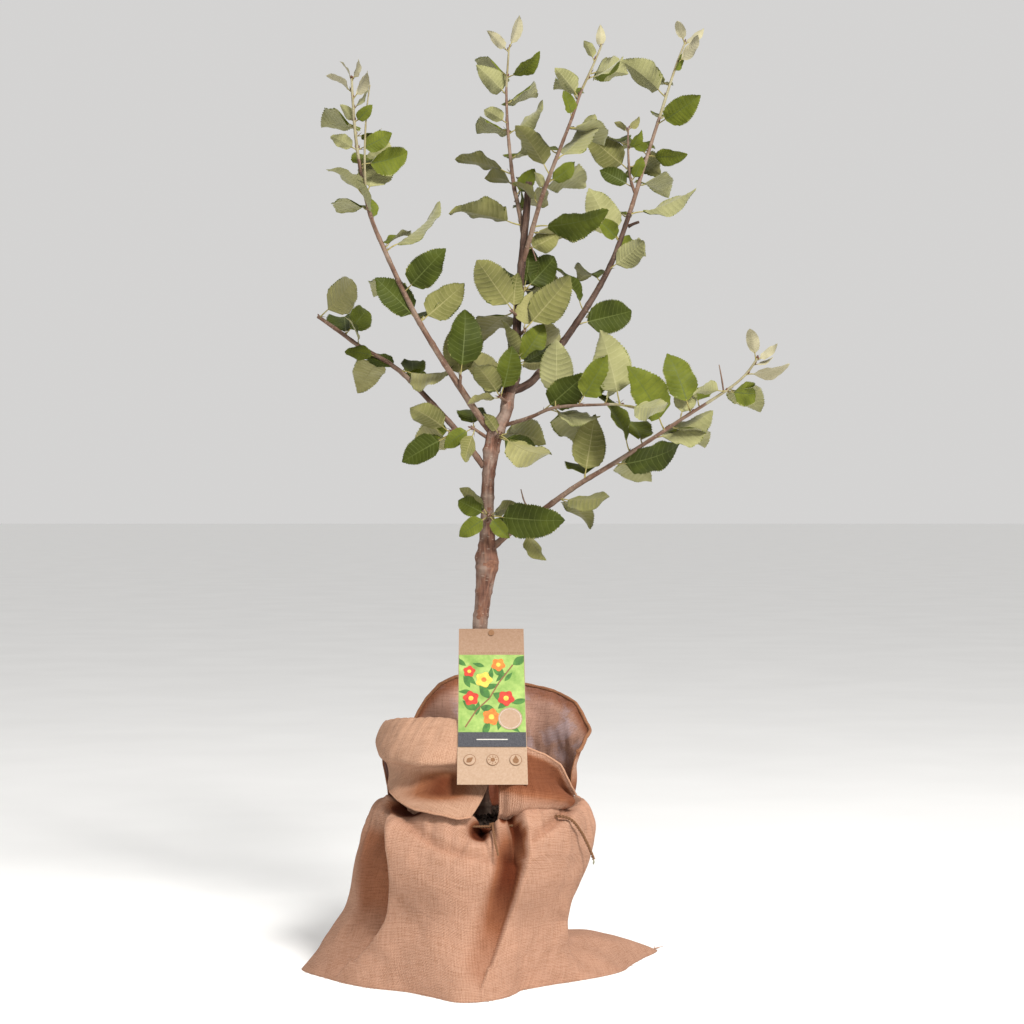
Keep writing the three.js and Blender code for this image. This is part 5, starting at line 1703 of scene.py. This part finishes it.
def grow_stem(build, shoot, route, start, index):
    """The stem that carries the leaves, pale and green towards its tip."""
    radius = taper(shoot["diameters"], route)
    at = make_limb(build, route, start, route.length, radius, sides=STEM_SIDES, seed=20.0 + index,
                   slot=0, step=2.0, rough=0.3)
    share = (at[:-1] + at[1:]) / 2 / route.length
    ring_slots = np.zeros(len(share), int)
    if route.length > YOUNG["length"] and not shoot.get("cut"):
        ring_slots[share > GREEN_FROM] = 1
    if shoot["name"] == "right":
        ring_slots[share < DARK_TO] = 2
    # The tube's wall was added before its two caps.
    build.slots[-3] = np.repeat(ring_slots, STEM_SIDES)


# Assembly

def dress():
    """Makes every piece, hides the solids it stands in for, and attaches it to the body it rides on."""
    stem_nodes = ["leaves_" + s["name"] for s in SHOOTS + SPURS]
    ball = make_ball()
    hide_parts("root_ball")
    soil = make_soil()
    # A flap's soil function is the painted shade of its cloth.
    flaps = [
        (make_flap("sack_back_cloth", -19.5, 179, back_section, columns=200, rows=60, wrinkle=2.4,
                   inside=JUTE_FILM, edge=DARK_EDGE, soil=back_painted_shade, hem=1.5 * HEM_RADIUS),
         "sack_back_wall"),
        (make_flap("sack_left_cloth", -180, -86, left_section, columns=120, rows=110, wrinkle=2.0,
                   inside=JUTE_INNER, edge=JUTE_EDGE, soil=left_painted_shade, slant=(-9, -9, 3, 4, -8)),
         "sack_flap_left"),
        (make_flap("sack_right_cloth", -77, -21, right_section, columns=80, rows=70, wrinkle=1.6,
                   inside=JUTE_INNER, edge=JUTE_EDGE, soil=right_painted_shade),
         "sack_flap_right"),
    ]
    for flap, node in flaps:
        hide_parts(node)
    twine = make_string()
    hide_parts("tie_string")
    card = make_tag()
    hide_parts("tag")
    pieces = [ball, soil, twine, card] + [flap for flap, _ in flaps]
    for piece, nodes in make_wood():
        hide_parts(*nodes)
        pieces.append(piece)
    crown = grow_crown()
    for piece in crown:
        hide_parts(*stem_nodes)
    for piece in pieces + crown:
        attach(piece, "root")


# Stage, lights and camera

def make_stage():
    """A pale floor, an even sky and plain colours."""
    bpy.ops.mesh.primitive_plane_add(size=200, location=(0, 0, 0))
    floor = bpy.context.object
    floor.name = "floor"
    look = Look("pale floor", 0.9, Specular_IOR_Level=0.1)
    tone = look.add("TexNoise", look.add("TexCoord", out="Object"), Scale=3.0, Detail=2.0, Roughness=0.55)
    tone = look.add("ValToRGB", tone, stops=((0.3, "#F4F4F3"), (0.7, "#F8F8F7")))
    floor.data.materials.append(look.finish(tone))
    world = bpy.data.worlds.new("studio")
    world.use_nodes = True
    sky = world.node_tree.nodes["Background"]
    sky.inputs["Color"].default_value = (1.0, 0.99, 0.98, 1)
    sky.inputs["Strength"].default_value = 0.66
    bpy.context.scene.world = world
    bpy.context.scene.view_settings.view_transform = "Standard"


def add_light(name, place, aim, size, power, tint):
    """A square light that faces its aim."""
    data = bpy.data.lights.new(name, "AREA")
    data.shape = "SQUARE"
    data.size = size
    data.energy = power
    data.color = tint
    lamp = bpy.data.objects.new(name, data)
    lamp.location = place
    lamp.rotation_euler = (Vector(aim) - Vector(place)).to_track_quat("-Z", "Y").to_euler()
    bpy.context.scene.collection.objects.link(lamp)


def make_camera():
    """A camera where the picture was taken from, level with about half the plant's height."""
    data = bpy.data.cameras.new("camera")
    data.sensor_width = SENSOR
    data.lens = SENSOR * -EYE[1] / PICTURE_WIDTH
    camera = bpy.data.objects.new("camera", data)
    camera.location = EYE * MM
    camera.rotation_euler = (math.radians(90), 0, 0)
    bpy.context.scene.collection.objects.link(camera)
    bpy.context.scene.camera = camera


make_stage()
add_light("key from the right", (1.2, -2.4, 2.6), aim=(0, 0, 0.4), size=0.8, power=176,
          tint=(1.0, 0.98, 0.95))
make_camera()
dress()
